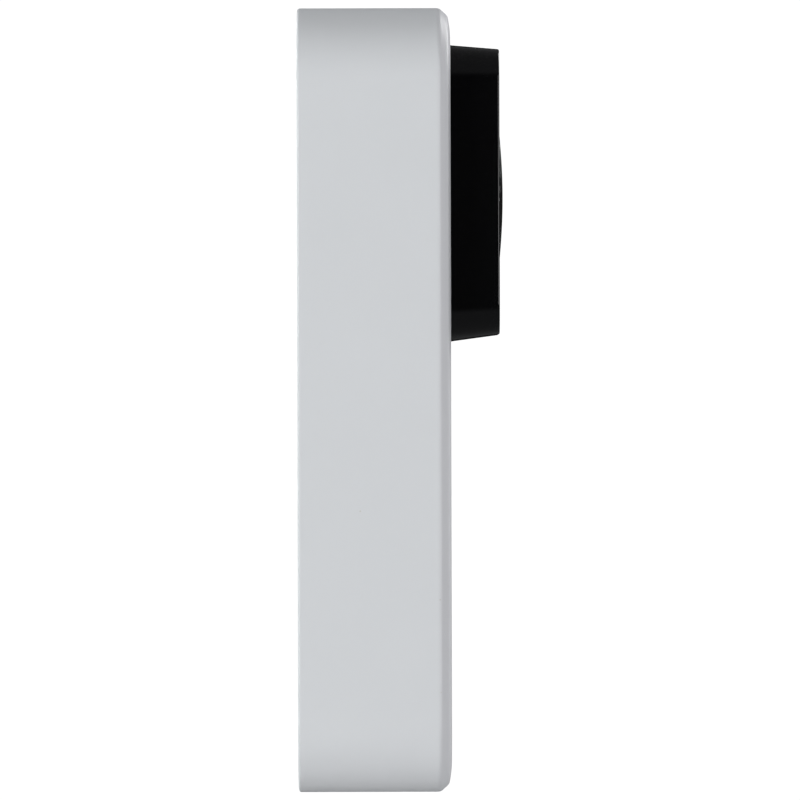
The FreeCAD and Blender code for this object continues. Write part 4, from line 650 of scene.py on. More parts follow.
def finish(slot):
    """The material of one slot, made the first time that it is asked for."""
    name = slot + "_finish"
    if name in bpy.data.materials:
        return bpy.data.materials[name]
    pattern, fine, broad, entry, shift, low, high, relief, fixed = FINISHES[slot]
    base = chosen_colour(entry)
    material = bpy.data.materials.new(name)
    material.use_nodes = True
    tree = Tree(material.node_tree)
    shader = material.node_tree.nodes["Principled BSDF"]
    place = tree.add("ShaderNodeTexCoord").outputs["Object"]

    def use(group, fine_scale, broad_scale):
        node = tree.add("ShaderNodeGroup", node_tree=bpy.data.node_groups[group])
        tree.feed(node.inputs["Place"], place)
        node.inputs["Fine"].default_value = fine_scale
        node.inputs["Broad"].default_value = broad_scale
        return node.outputs

    main = use(pattern, fine, broad)
    second = tuple(min(channel * shift, 1.0) for channel in base)
    paint = tree.blend(main["Tone"], (*base, 1), (*second, 1))
    gloss = tree.maths("MULTIPLY_ADD", main["Tone"], high - low, low)
    if slot in SPECKED:
        specks = use("scattered specks", *SPECK_SIZES)["Tone"]
        paint = tree.blend(specks, paint, (*SPECKED[slot], 1))
    # Lighten the colour along sharp edges: rubbed wear and a painted sheen.
    if slot in WEAR_AND_SHEEN:
        worn_sheen_mask = use("rubbed edges", *WEAR_AND_SHEEN_SIZES)["Tone"]
        worn_sheen_colour = tuple(min(channel * WEAR_AND_SHEEN[slot], 1.0) for channel in base)
        paint = tree.blend(worn_sheen_mask, paint, (*worn_sheen_colour, 1))
        gloss = tree.maths("MULTIPLY_ADD", worn_sheen_mask, -0.12, gloss)
    if slot in DUSTED:
        film = use("settled dust", *DUST_SIZES)["Tone"]
        dust = tree.maths("MULTIPLY", film, DUSTED[slot])
        paint = tree.blend(dust, paint, DUST_COLOUR)
        gloss = tree.maths("MULTIPLY_ADD", dust, 0.4, gloss)
    raised = {"Height": main["Height"], "Distance": relief, "Strength": 1.0}
    bump = tree.add("ShaderNodeBump", raised)
    tree.feed(shader.inputs["Base Color"], paint)
    tree.feed(shader.inputs["Roughness"], gloss)
    tree.feed(shader.inputs["Normal"], bump.outputs[0])
    for name, value in fixed.items():
        shader.inputs[name].default_value = value
    material.diffuse_color = (*base, 1)
    return material


# ---------------------------------------------------------------- geometry node trees


def grown(name, tree, **values):
    """Run a geometry tree on an empty object and keep the result as plain mesh."""
    piece = bpy.data.objects.new(name, bpy.data.meshes.new(name))
    bpy.context.scene.collection.objects.link(piece)
    modifier = piece.modifiers.new("grow", "NODES")
    modifier.node_group = tree
    for item in tree.interface.items_tree:
        if item.item_type == "SOCKET" and item.in_out == "INPUT":
            modifier[item.identifier] = values[item.name.replace(" ", "_").lower()]
    return bake(piece)


def geometry_tree(name, *sizes):
    sockets = [("Geometry", "NodeSocketGeometry", "out"), ("Finish", "NodeSocketMaterial", None)]
    sockets += sizes
    return new_tree("GeometryNodeTree", name, sockets)


def finish_geometry(tree, given, made, geometry):
    real = tree.add("GeometryNodeRealizeInstances", {0: geometry}).outputs[0]
    painted = tree.add("GeometryNodeSetMaterial", {"Geometry": real, "Material": given["Finish"]})
    tree.feed(made["Geometry"], painted.outputs[0])


def copies_at(tree, given, points, turn):
    """Instances of the tree's pattern object at points, each turned about the depth axis."""
    pattern = tree.add("GeometryNodeObjectInfo", {"Object": given["Pattern"]})
    turning = tree.vector(Y=turn)
    inputs = {"Points": points, "Instance": pattern.outputs["Geometry"], "Rotation": turning}
    return tree.add("GeometryNodeInstanceOnPoints", inputs).outputs[0]


def rows_tree():
    """Make the tree that sets copies of a pattern in rows and columns, each turned at random."""
    tree, given, made = geometry_tree(
        "rows of copies",
        ("Pattern", "NodeSocketObject", None),
        ("Columns", "NodeSocketInt", 2),
        ("Rows", "NodeSocketInt", 2),
        ("Across", "NodeSocketFloat", 0.02),
        ("Up", "NodeSocketFloat", 0.02),
        ("Height", "NodeSocketFloat", 0.0),
        ("Turn", "NodeSocketFloat", math.tau),
        ("Seed", "NodeSocketInt", 1),
    )
    index = tree.add("GeometryNodeInputIndex").outputs[0]
    column = tree.maths("MODULO", index, given["Columns"])
    row = tree.maths("FLOOR", tree.maths("DIVIDE", index, given["Columns"]))
    spots = []
    for place, count, spread in (
        (column, given["Columns"], given["Across"]),
        (row, given["Rows"], given["Up"]),
    ):
        steps = tree.maths("MAXIMUM", tree.maths("SUBTRACT", count, 1.0), 1.0)
        share = tree.maths("SUBTRACT", tree.maths("DIVIDE", place, steps), 0.5)
        spots.append(tree.maths("MULTIPLY", share, spread))
    height = tree.maths("ADD", spots[1], given["Height"])
    spot = tree.vector(X=spots[0], Z=height)
    count = tree.maths("MULTIPLY", given["Columns"], given["Rows"])
    points = tree.add("GeometryNodePoints", {"Count": count, "Position": spot}).outputs[0]
    turn = tree.add("FunctionNodeRandomValue", {"Seed": given["Seed"], "Max": given["Turn"]})
    finish_geometry(tree, given, made, copies_at(tree, given, points, turn.outputs["Value"]))


def circle_tree():
    """Copies of a pattern spaced evenly round a circle."""
    tree, given, made = geometry_tree(
        "circle of copies",
        ("Pattern", "NodeSocketObject", None),
        ("Count", "NodeSocketInt", 8),
        ("Radius", "NodeSocketFloat", 0.01),
        ("Height", "NodeSocketFloat", 0.0),
    )
    index = tree.add("GeometryNodeInputIndex").outputs[0]
    share = tree.maths("DIVIDE", tree.maths("ADD", index, 0.5), given["Count"])
    angle = tree.maths("MULTIPLY", share, math.tau)
    across = tree.maths("MULTIPLY", tree.maths("COSINE", angle), given["Radius"])
    up = tree.maths("MULTIPLY", tree.maths("SINE", angle), given["Radius"])
    height = tree.maths("ADD", up, given["Height"])
    spot = tree.vector(X=across, Z=height)
    inputs = {"Count": given["Count"], "Position": spot}
    points = tree.add("GeometryNodePoints", inputs).outputs[0]
    finish_geometry(tree, given, made, copies_at(tree, given, points, 0.0))
    return tree.tree


def woven_tree():
    """Round wires woven over and under each other, lying flat."""
    tree, given, made = geometry_tree(
        "woven wires",
        ("Width", "NodeSocketFloat", 0.018),
        ("Deep", "NodeSocketFloat", 0.01),
        ("Pitch", "NodeSocketFloat", 0.0008),
        ("Wire", "NodeSocketFloat", 0.00007),
        ("Middle", "NodeSocketVector", (0.0, 0.0, 0.0)),
    )
    join = tree.add("GeometryNodeJoinGeometry")
    ways = (("Width", "Deep", 0.0, 1.0), ("Deep", "Width", math.pi / 2, -1.0))
    for along, across, quarter, sign in ways:
        reach = tree.maths("MULTIPLY", given[along], 0.5)
        start = tree.vector(X=tree.maths("MULTIPLY", reach, -1.0))
        finish_at = tree.vector(X=reach)
        line = tree.add("GeometryNodeCurvePrimitiveLine", {"Start": start, "End": finish_at})
        bends = tree.maths("MULTIPLY", tree.maths("DIVIDE", given[along], given["Pitch"]), 6.0)
        fine = tree.add("GeometryNodeResampleCurve", {"Curve": line.outputs[0], "Count": bends})
        where = tree.add("GeometryNodeInputPosition").outputs[0]
        x = tree.parts(where)[0]
        phase = tree.maths("MULTIPLY", tree.maths("DIVIDE", x, given["Pitch"]), math.pi)
        wave = tree.maths("MULTIPLY", tree.maths("COSINE", phase), given["Wire"])
        lift = tree.vector(Z=tree.maths("MULTIPLY", wave, sign))
        bent = tree.add("GeometryNodeSetPosition", {"Geometry": fine.outputs[0], "Offset": lift})
        round_wire = {"Resolution": 6, "Radius": given["Wire"]}
        section = tree.add("GeometryNodeCurvePrimitiveCircle", round_wire)
        wire = tree.add(
            "GeometryNodeCurveToMesh",
            {"Curve": bent.outputs[0], "Profile Curve": section.outputs[0], "Fill Caps": True},
        ).outputs[0]
        half = tree.maths("MULTIPLY", given[across], 0.5)
        room = tree.maths("SUBTRACT", half, given["Wire"])
        side = tree.maths("FLOOR", tree.maths("DIVIDE", room, given["Pitch"]))
        count = tree.maths("MULTIPLY_ADD", side, 2.0, 1.0)
        index = tree.add("GeometryNodeInputIndex").outputs[0]
        step = tree.maths("SUBTRACT", index, side)
        spot = tree.vector(Y=tree.maths("MULTIPLY", step, given["Pitch"]))
        points = tree.add("GeometryNodePoints", {"Count": count, "Position": spot}).outputs[0]
        odd = tree.maths("MODULO", tree.maths("ABSOLUTE", step), 2.0)
        roll = tree.vector(X=tree.maths("MULTIPLY", odd, math.pi))
        rows = {"Points": points, "Instance": wire, "Rotation": roll}
        wires = tree.add("GeometryNodeInstanceOnPoints", rows).outputs[0]
        turned = {"Geometry": wires, "Rotation": (0.0, 0.0, quarter)}
        laid = tree.add("GeometryNodeTransform", turned)
        tree.feed(join.inputs[0], laid.outputs[0])
    shift = {"Geometry": join.outputs[0], "Translation": given["Middle"]}
    moved = tree.add("GeometryNodeTransform", shift)
    finish_geometry(tree, given, made, moved.outputs[0])
    return tree.tree


# ---------------------------------------------------------------- pieces


def fixed_outline(low, high, corner):
    return lambda depth: (low, high, corner)


def profile_block(name, outline_at, sections, steps):
    """A block with one round-cornered upright ring a section, each (inset, depth)."""
    work = bmesh.new()
    rings = []
    for inset, depth in sections:
        low, high, corner = outline_at(depth)
        rings.append(
            upright_ring(
                (low[0] + inset, low[1] + inset),
                (high[0] - inset, high[1] - inset),
                max(corner - inset, 0.05 * MM),
                depth,
                steps,
            )
        )
    add_rings(work, rings)
    return piece_from(name, work)


def joined(name, pieces):
    """Several pieces made into one."""
    work = bmesh.new()
    for piece in pieces:
        work.from_mesh(piece.data)
        bpy.data.objects.remove(piece)
    return piece_from(name, work)


def corners_of(node):
    """A node's box as (low x, low z), (high x, high z), back depth and front depth."""
    low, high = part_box(node)
    return (low.x, low.z), (high.x, high.z), -high.y, -low.y


def middle_of(node):
    low, high = corners_of(node)[:2]
    return ((low[0] + high[0]) / 2, (low[1] + high[1]) / 2)


def turned_sizes(node):
    """A round node's radius, back depth and front depth."""
    low, high, back, front = corners_of(node)
    return (high[0] - low[0]) / 2, back, front


def in_rows(name, node, pattern, half, columns, rows, turn, seed):
    """Copies of a pattern over a node's box, with the outer ones half a copy inside it."""
    low, high = corners_of(node)[:2]
    piece = grown(
        name,
        bpy.data.node_groups["rows of copies"],
        finish=finish(SLOTS[node]),
        pattern=pattern,
        columns=columns,
        rows=rows,
        across=high[0] - low[0] - 2 * half,
        up=high[1] - low[1] - 2 * half,
        height=middle_of(node)[1],
        turn=turn,
        seed=seed,
    )
    bpy.data.objects.remove(pattern)
    return piece


def screw_pattern(name, back, tip, head_radius, head_thick, radius, sizes):
    """One screw on the depth axis: a crowned head with a cross recess, and a helical thread."""
    around = 20
    seat = back + head_thick
    crown = head_thick * 0.3
    rings = [
        round_ring((0, 0), head_radius * share, back + crown * drop, around)
        for share, drop in ((0.25, 0.0), (0.6, 0.08), (0.85, 0.35), (0.97, 0.75), (1.0, 1.0))
    ]
    rings.append(round_ring((0, 0), head_radius, seat - head_thick * 0.08, around))
    rings.append(round_ring((0, 0), head_radius * 0.96, seat, around))
    steps = max(int((tip - seat) / sizes.thread_pitch * 6), 12)
    for step in range(steps + 1):
        depth = seat + (tip - seat) * step / steps
        taper = min(1.0, (tip - depth) / (1.5 * sizes.thread_pitch) + 0.45)
        ring = []
        for index in range(around):
            turn = index / around
            phase = (depth - seat) / sizes.thread_pitch - turn
            root = sizes.thread_height * (0.5 - 0.5 * math.cos(math.tau * phase))
            ring.append(polar_point((0, 0), (radius - root) * taper, math.tau * turn, depth))
        rings.append(ring)
    work = bmesh.new()
    add_rings(work, rings)
    screw = piece_from(name, work)
    long, short = head_radius * 0.62, head_radius * 0.15
    cross = [
        (long, short), (short, short), (short, long), (-short, long), (-short, short),
        (-long, short), (-long, -short), (-short, -short), (-short, -long), (short, -long),
        (short, -short), (long, -short),
    ]
    work = bmesh.new()
    add_rings(
        work,
        [
            [Vector((x * share, -depth, z * share)) for x, z in cross]
            for share, depth in (
                (1.15, back - head_thick * 0.1),
                (1.0, back + head_thick * 0.1),
                (0.5, back + head_thick * 0.7),
            )
        ],
    )
    return combine(screw, piece_from("recess", work), "DIFFERENCE")


class DoorbellStep:
    """What every step shares: undo, and one line in the sidebar."""

    bl_options = {"REGISTER", "UNDO"}


class DOORBELL_OT_effects(DoorbellStep, bpy.types.Operator):
    """Make the surface effects that the finishes share"""

    bl_idname = "doorbell.effects"
    bl_label = "Surface effects"

    def execute(self, context):
        for make in EFFECTS:
            make()
        return {"FINISHED"}


class DOORBELL_OT_housing(DoorbellStep, bpy.types.Operator):
    """Make the white body: a smooth bevelled and crowned outside round the cavity and its posts"""

    bl_idname = "doorbell.housing"
    bl_label = "Body"

    def execute(self, context):
        sizes = context.scene.doorbell_housing
        low, high, back, front = corners_of("front_housing")
        outline = fixed_outline(low, high, sizes.corner)
        corners = [
            (2 * sizes.back_round, back, 0),
            (0, back, sizes.back_round),
            (0, front - sizes.bevel_drop, sizes.bevel_round),
            (sizes.bevel_inset, front - sizes.crown_rise, sizes.bevel_round),
        ]
        for share in shares(8):
            inset = sizes.bevel_inset + sizes.crown_width * share
            corners.append((inset, front - sizes.crown_rise * (1 - share) ** 2, 0))
        outside = profile_block("outside", outline, rounded_path(corners), BODY_STEPS)
        body = node_copy("front_housing", "body")
        grow_skin(body, outline, back, front)
        combine(body, outside, "INTERSECT")
        settle(smooth(body, degrees=34), "front_housing")
        return {"FINISHED"}


def island_outline(sizes):
    """The island's outline at any depth, tapering from its base to the rim round the window."""
    base_low, base_high, back, front = corners_of("camera_shell")
    low, high, _, _ = corners_of("front_window")
    rim = sizes.window_rim
    front_low = (low[0] - rim, low[1] - rim)
    front_high = (high[0] + rim, high[1] + rim)

    def outline_at(depth):
        share = min(max((depth - back) / (front - back), 0), 1)
        corner = sizes.corner - share * (front_low[0] - base_low[0])
        return (
            [a + share * (b - a) for a, b in zip(base_low, front_low)],
            [a + share * (b - a) for a, b in zip(base_high, front_high)],
            corner,
        )

    return outline_at


class DOORBELL_OT_island(DoorbellStep, bpy.types.Operator):
    """Make the black camera island, its window and the lens dome"""

    bl_idname = "doorbell.island"
    bl_label = "Camera island"

    def execute(self, context):
        sizes = context.scene.doorbell_island
        _, _, back, front = corners_of("camera_shell")
        outline = island_outline(sizes)
        path = rounded_path(
            [(0, back, 0), (0, front, sizes.front_round), (2 * sizes.front_round, front, 0)]
        )
        outside = profile_block("outside", outline, path, ISLAND_STEPS)
        island = node_copy("camera_shell", "camera_island")
        grow_skin(island, outline, back, front)
        combine(island, outside, "INTERSECT")
        settle(smooth(island, degrees=34), "camera_shell")

        low, high, back, front = corners_of("front_window")
        dome = middle_of("lens_dome")
        dome_radius, dome_back, dome_front = turned_sizes("lens_dome")
        broken = sizes.window_break
        corner = outline(front)[2] - sizes.window_rim
        sections = [(broken / 2, back), (0, back + broken), (0, front - broken)]
        sections += [(broken * 0.3, front - broken * 0.3), (broken, front)]
        edge = fixed_outline(low, high, corner)
        window = profile_block("window", edge, sections, ISLAND_STEPS)
        beyond = 1.0 * MM
        port = (dome[0], dome[1] - sizes.port_drop)
        for centre, hole, bevel, around in (
            (dome, dome_radius + sizes.dome_gap, broken, WIDE_SIDES),
            (port, sizes.port_radius, 2 * broken, PORT_SIDES),
        ):
            cutter = [
                (0, back - beyond, 0),
                (hole, back - beyond, 0),
                (hole, front - bevel, 0),
                (hole + bevel + beyond, front + beyond, 0),
                (0, front + beyond, 0),
            ]
            combine(window, turned_piece("cutter", centre, around, cutter), "DIFFERENCE")
        settle(smooth(window), "front_window")

        rim = dome_front - sizes.dome_rise
        path = [(0, dome_back, 0), (dome_radius, dome_back, FINE)]
        path.append((dome_radius, rim, sizes.dome_round))
        for share in shares(14):
            radius = (dome_radius - sizes.dome_round) * (1 - share)
            path.append((radius, rim + sizes.dome_rise * (1 - (1 - share) ** 2), 0))
        settle(smooth(turned_piece("dome", dome, WIDE_SIDES, path)), "lens_dome")
        return {"FINISHED"}


class DOORBELL_OT_lens(DoorbellStep, bpy.types.Operator):
    """Make what shows through the dome: the light baffle, the barrel and its lens elements"""

    bl_idname = "doorbell.lens"
    bl_label = "Lens"

    def execute(self, context):
        sizes = context.scene.doorbell_island
        centre = middle_of("lens_dome")
        head, back, front = turned_sizes("lens_barrel")
        shoulder = front - sizes.barrel_head
        glass, glass_back, glass_front = turned_sizes("lens_elements")
        cup = glass_front - sizes.element_thick
        groove = 0.12 * MM
        face = [(head, front, SOFT)]
        ledge = head - 0.3 * MM
        while ledge - 2 * groove > glass + 2 * groove:
            face += [(ledge, front, 0), (ledge - groove, front - groove, 0)]
            face += [(ledge - 2 * groove, front - groove, 0), (ledge - 3 * groove, front, 0)]
            ledge -= 4 * groove
        barrel = [
            (sizes.barrel_bore, back, FINE),
            (sizes.barrel_neck, back, SOFT),
            (sizes.barrel_neck, shoulder, 0),
            (head, shoulder, SOFT),
            *face,
            (glass + 0.05 * MM, front, 0.05 * MM),
            (glass + 0.05 * MM, cup, 0),
            (sizes.barrel_bore, cup, 0.05 * MM),
        ]
        settle(smooth(turned_piece("barrel", centre, LENS_SIDES, barrel)), "lens_barrel")

        half = sizes.element_thick / 2
        near = [(0, cup, 0), (glass, cup, FINE), (glass, cup + half, FINE)]
        for share in shares(8):
            rise = half * (1 - (1 - share) ** 2)
            near.append((glass * (1 - share), cup + half + rise, 0))
        rear = sizes.barrel_bore - 0.05 * MM
        thick = sizes.rear_element
        far = [
            (0, glass_back, 0),
            (rear * 0.5, glass_back + thick * 0.06, 0),
            (rear, glass_back + thick * 0.2, FINE),
            (rear, glass_back + thick * 0.8, FINE),
            (rear * 0.5, glass_back + thick * 0.94, 0),
            (0, glass_back + thick, 0),
        ]
        elements = turned_piece("lens_glass", centre, LENS_SIDES, near, far)
        settle(smooth(elements), "lens_elements")

        outside, back, front = turned_sizes("light_baffle")
        bore = outside - sizes.baffle_wall
        ridges = 5
        steps = []
        reach = front - glass_front - sizes.baffle_wall
        for index in range(ridges):
            share = index / ridges
            radius = outside - sizes.baffle_wall * (0.4 + 0.6 * share)
            depth = front - reach * share
            steps += [(radius, depth, 0), (radius, depth - reach * 0.12, 0)]
            steps += [(radius + 0.1 * MM, depth - reach * 0.16, 0)]
        baffle = [(bore, back, FINE), (outside, back, SOFT), (outside, front, FINE)]
        baffle += [*steps, (bore, front - reach, 0)]
        settle(smooth(turned_piece("baffle", centre, LENS_SIDES, baffle)), "light_baffle")
        return {"FINISHED"}


class DOORBELL_OT_call_button(DoorbellStep, bpy.types.Operator):
    """Make the dished call button and the light ring round it"""

    bl_idname = "doorbell.call_button"
    bl_label = "Call button"

    def execute(self, context):
        sizes = context.scene.doorbell_button
        centre = middle_of("button_cap")
        flange, back, front = turned_sizes("button_cap")
        hollow = front - sizes.skin
        inside = sizes.radius - sizes.wall
        stop = sizes.flange_front - sizes.slack
        path = [
            (0, back, 0),
            (sizes.stem, back, BROAD),
            (sizes.stem, hollow, BROAD),
            (inside, hollow, BROAD),
            (inside, sizes.flange_front - sizes.flange_thick, 0),
            (flange, sizes.flange_front - sizes.flange_thick, SOFT),
            (flange, stop, SOFT),
            (sizes.radius, stop, 0),
            (sizes.radius, front, sizes.edge),
        ]
        flat = sizes.radius - 2 * sizes.edge
        path.append((flat, front, 0))
        for share in shares(12):
            radius = flat * (1 - share)
            sink = sizes.dish * (1 - (radius / flat) ** 2) ** 2
            path.append((radius, front - sink, 0))
        cap = turned_piece("button_cap_face", centre, WIDE_SIDES, path)
        settle(smooth(cap, degrees=40), "button_cap")

        flange, back, front = turned_sizes("button_light_ring")
        outside = flange - sizes.ring_flange
        inside = outside - sizes.ring_band
        skirt = outside - sizes.ring_skirt
        level = sizes.flange_front
        wall = level + sizes.ring_flange_thick
        edge = sizes.ring_edge
        ring = [
            (skirt, back, edge),
            (outside, back, edge),
            (outside, level, 0),
            (flange, level, edge),
            (flange, wall, edge),
            (outside, wall, 0),
            (outside, front, 2 * edge),
            (inside, front, 2 * edge),
            (inside, level, 0),
            (skirt, level, 0),
        ]
        light = turned_piece("light_ring", centre, WIDE_SIDES, ring)
        settle(smooth(light, degrees=40), "button_light_ring")
        return {"FINISHED"}


class DOORBELL_OT_backing(DoorbellStep, bpy.types.Operator):
    """Make the back cover and the reset button"""

    bl_idname = "doorbell.backing"
    bl_label = "Back cover"

    def execute(self, context):
        sizes = context.scene.doorbell_metalwork
        cover = node_copy("back_cover", "cover")
        level = sizes.cover_level
        border = 9.0 * MM
        foot = corners_of("back_cover")[0][1]
        label = fixed_outline((-border, foot + border), (border, foot + 2.6 * border), 1.5 * MM)
        sunk = 0.3 * MM
        sections = [(-sunk, level - 1.0 * MM), (-sunk, level - sunk), (0.2 * MM, level + sunk)]
        combine(cover, profile_block("label", label, sections, 8), "DIFFERENCE")
        settle(smooth(break_edges(cover, sizes.edge_break)), "back_cover")

        centre = middle_of("reset_button")
        flange, back, front = turned_sizes("reset_button")
        radius = sizes.reset_radius
        path = [
            (0, back + 0.25 * MM, 0),
            (radius * 0.5, back + 0.2 * MM, 0),
            (radius * 0.75, back, FINE),
            (radius, back, BROAD),
            (radius, sizes.reset_flange, 0),
            (flange, sizes.reset_flange, FINE),
            (flange, sizes.reset_flange + 0.5 * MM, FINE),
            (radius, sizes.reset_flange + 0.5 * MM, 0),
            (radius * 0.87, front, FINE),
            (0, front, 0),
        ]
        key = turned_piece("reset_key_face", centre, KEY_SIDES, path)
        settle(smooth(key, degrees=40), "reset_button")
        return {"FINISHED"}


POCKET_ROWS = (
    # lower and upper edge in millimetres, from the bracket's middle
    (-54.5, -49.8), (-39.2, -26.6), (-24.8, -12.2), (23.2, 30.6), (32.4, 39.2), (49.8, 56.5),
)
POCKET_HALF = 16.8
POCKET_DEEP = 0.9


class DOORBELL_OT_bracket(DoorbellStep, bpy.types.Operator):
    """Make the wall bracket, hollowed at the back between its ribs"""

    bl_idname = "doorbell.bracket"
    bl_label = "Wall bracket"

    def execute(self, context):
        sizes = context.scene.doorbell_metalwork
        bracket = node_copy("wall_bracket", "bracket")
        rib = sizes.bracket_rib
        sections = [(-0.1 * MM, -0.5 * MM), (0, 0.05 * MM), (0.12 * MM, POCKET_DEEP * MM)]
        for low, high in POCKET_ROWS:
            for side in (-1, 1):
                edges = sorted((side * rib / 2, side * POCKET_HALF * MM))
                pocket = fixed_outline((edges[0], low * MM), (edges[1], high * MM), 1.2 * MM)
                combine(bracket, profile_block("pocket", pocket, sections, 6), "DIFFERENCE")
        settle(smooth(break_edges(bracket, sizes.edge_break)), "wall_bracket")
        return {"FINISHED"}


SCREWS = (
    # node, columns, rows, head radius, head thickness, thread radius
    ("cover_screws", 2, 3, 1.8, 1.0, 0.95),
    ("camera_shell_screws", 2, 2, 1.4, 1.1, 0.7),
    ("camera_board_screws", 2, 2, 1.4, 1.1, 0.7),
    ("main_board_screws", 2, 2, 1.4, 1.1, 0.7),
    ("button_board_screws", 2, 2, 1.4, 1.1, 0.7),
    ("terminal_screws", 2, 1, 2.8, 1.8, 1.45),
)


class DOORBELL_OT_screws(DoorbellStep, bpy.types.Operator):
    """Make every machine screw from a pattern, set out in rows"""

    bl_idname = "doorbell.screws"
    bl_label = "Screws"

    def execute(self, context):
        sizes = context.scene.doorbell_metalwork
        rows_tree()
        for number, (node, columns, rows, head, thick, radius) in enumerate(SCREWS):
            back, tip = corners_of(node)[2:]
            head *= MM
            pattern = screw_pattern("pattern", back, tip, head, thick * MM, radius * MM, sizes)
            name = node.replace("_screws", "_fasteners")
            seed = sizes.seed + number
            piece = in_rows(name, node, pattern, head, columns, rows, math.tau, seed)
            settle(smooth(piece, degrees=40), node)
        return {"FINISHED"}


class DOORBELL_OT_lamps(DoorbellStep, bpy.types.Operator):
    """Make the lamps round the call button and the infrared lamps behind the window"""

    bl_idname = "doorbell.lamps"
    bl_label = "Lamps"

    def execute(self, context):
        back, front = corners_of("ring_leds")[2:]
        half = 0.6 * MM
        square = fixed_outline((-half, -half), (half, half), 0.12 * MM)
        sections = [(0, back), (0, front - 0.1 * MM), (0.06 * MM, front), (0.2 * MM, front)]
        sections += [(0.26 * MM, front - 0.08 * MM)]
        pattern = profile_block("pattern", square, sections, 3)
        ring = grown(
            "ring_lamps",
            circle_tree(),
            finish=finish(SLOTS["ring_leds"]),
            pattern=pattern,
            count=8,
            radius=context.scene.doorbell_button.lamp_reach,
            height=middle_of("ring_leds")[1],
        )
        bpy.data.objects.remove(pattern)
        settle(smooth(ring), "ring_leds")

        back, front = corners_of("ir_leds")[2:]
        half = 1.4 * MM
        middle = (back + front) / 2
        square = fixed_outline((-half, -half), (half, half), BROAD)
        sections = [(0, back), (0, middle - 0.12 * MM), (0.12 * MM, middle)]
        base = profile_block("base", square, sections, 4)
        sunk = middle - 0.2 * MM
        bulb = half * 0.9
        lens = [(0, sunk, 0), (bulb, sunk, 0)]
        for index in range(7):
            angle = math.pi / 2 * index / 6
            rise = (front - middle) * math.sin(angle)
            lens.append((bulb * math.cos(angle), middle + rise, 0))
        glass = turned_piece("lens", (0, 0), BULB_SIDES, lens)
        pattern = joined("pattern", [base, glass])
        lamps = in_rows("infrared_lamps", "ir_leds", pattern, half, 2, 2, turn=0.0, seed=1)
        settle(smooth(lamps), "ir_leds")
        return {"FINISHED"}


class DOORBELL_OT_speaker_mesh(DoorbellStep, bpy.types.Operator):
    """Make the woven mesh and its frame behind the speaker's slots"""

    bl_idname = "doorbell.speaker_mesh"
    bl_label = "Speaker mesh"

    def execute(self, context):
        sizes = context.scene.doorbell_metalwork
        low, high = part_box("speaker_mesh")
        middle = (low + high) / 2
        wire = (high.z - low.z) / 4
        rim = 0.8 * MM
        woven = grown(
            "woven",
            woven_tree(),
            finish=finish(SLOTS["speaker_mesh"]),
            width=high.x - low.x - rim,
            deep=high.y - low.y - rim,
            pitch=sizes.wire_pitch,
            wire=wire,
            middle=middle,
        )
        work = bmesh.new()
        rings = []
        for inset, level in ((0, low.z), (0, high.z), (rim, high.z), (rim, low.z)):
            ring = upright_ring(
                (low.x + inset, low.y + inset),
                (high.x - inset, high.y - inset),
                max(1.5 * MM - inset, 0.3 * MM),
                level,
                6,
            )
            rings.append([Vector((point.x, point.z, level)) for point in ring])
        add_rings(work, rings, looped=True)
        frame_piece = piece_from("rim", work)
        settle(smooth(joined("speaker_grid", [woven, frame_piece]), degrees=40), "speaker_mesh")
        return {"FINISHED"}


SOFTENED = {
    # node: width of its broken edges in millimetres
    "bracket_insert": 0.1,
    "security_screw": 0.12,
    "terminal_posts": 0.12,
    "processor_shield": 0.06,
    "radio_shield": 0.06,
    "connectors": 0.12,
    "lens_holder": 0.15,
    "image_sensor": 0.08,
    "speaker_frame": 0.15,
    "speaker_magnet": 0.2,
    "speaker_cone": 0.12,
    "speaker_gasket": 0.12,
    "inductors": 0.3,
    "bulk_capacitors": 0.15,
    "ir_filter_blade": 0.06,
    "ir_filter_panes": 0.06,
    "ir_filter_rotor": 0.12,
    "ir_filter_coil": 0.1,
    "light_sensor": 0.1,
    "microphone": 0.12,
    "microphone_boot": 0.15,
    "reset_switch": 0.12,
    "button_switch": 0.12,
    "switch_plunger": 0.1,
    "button_frame": 0.2,
    "antennas": 0.05,
    "main_board": 0.06,
    "camera_board": 0.06,
    "button_board": 0.06,
    "ir_led_board": 0.06,
}


def is_closed(piece):
    """Whether every edge of a piece has exactly two faces."""
    work = bmesh.new()
    work.from_mesh(piece.data)
    closed = all(edge.is_manifold for edge in work.edges)
    work.free()
    return closed


class DOORBELL_OT_inner_pieces(DoorbellStep, bpy.types.Operator):
    """Soften the edges of the inner pieces, and give every node that stays its finish"""

    bl_idname = "doorbell.inner_pieces"
    bl_label = "Inner pieces"

    def execute(self, context):
        for node, width in SOFTENED.items():
            piece = break_edges(node_copy(node, node + "_soft"), width * MM)
            if is_closed(piece):
                settle(smooth(piece), node)
            else:
                bpy.data.objects.remove(piece)
        for node, original in frame["nodes"].items():
            if original.hide_render:
                continue
            if not original.material_slots:
                original.data.materials.append(None)
            for place in original.material_slots:
                place.material = finish(SLOTS[node])
        return {"FINISHED"}


# ---------------------------------------------------------------- stage


WHITE = (1, 1, 1, 1)
SKY_WHITE = 1.05
SKY_DIM = (0.13, 0.132, 0.136, 1)
SKY_DARK = (0.012, 0.012, 0.0125, 1)
PAPER_TONES = ((0.69, 0.69, 0.69, 1), (0.67, 0.67, 0.67, 1))
PAPER_LIFT = 0.38
LAMPS = (
    # name, azimuth, elevation, distance, width and height, power, its strength setting, tint
    ("front left light", 318, 6.4, 1.2, (0.55, 0.49), 4.0, "front_left", (1, 0.985, 1)),
    ("back left light", 222, 6.4, 1.2, (0.55, 0.49), 8.5, "back_left", (0.965, 1.0, 0.985)),
    ("front right light", 40, 25, 1.3, (0.6, 0.8), 7.0, "right", (1, 1, 1)),
    ("back right light", 140, 15, 1.3, (0.6, 0.8), 8.0, "right", (1, 1, 1)),
    ("top light", 90, 45, 1.2, (0.7, 0.7), 2.5, "top", (0.95, 1.0, 1.02)),
)


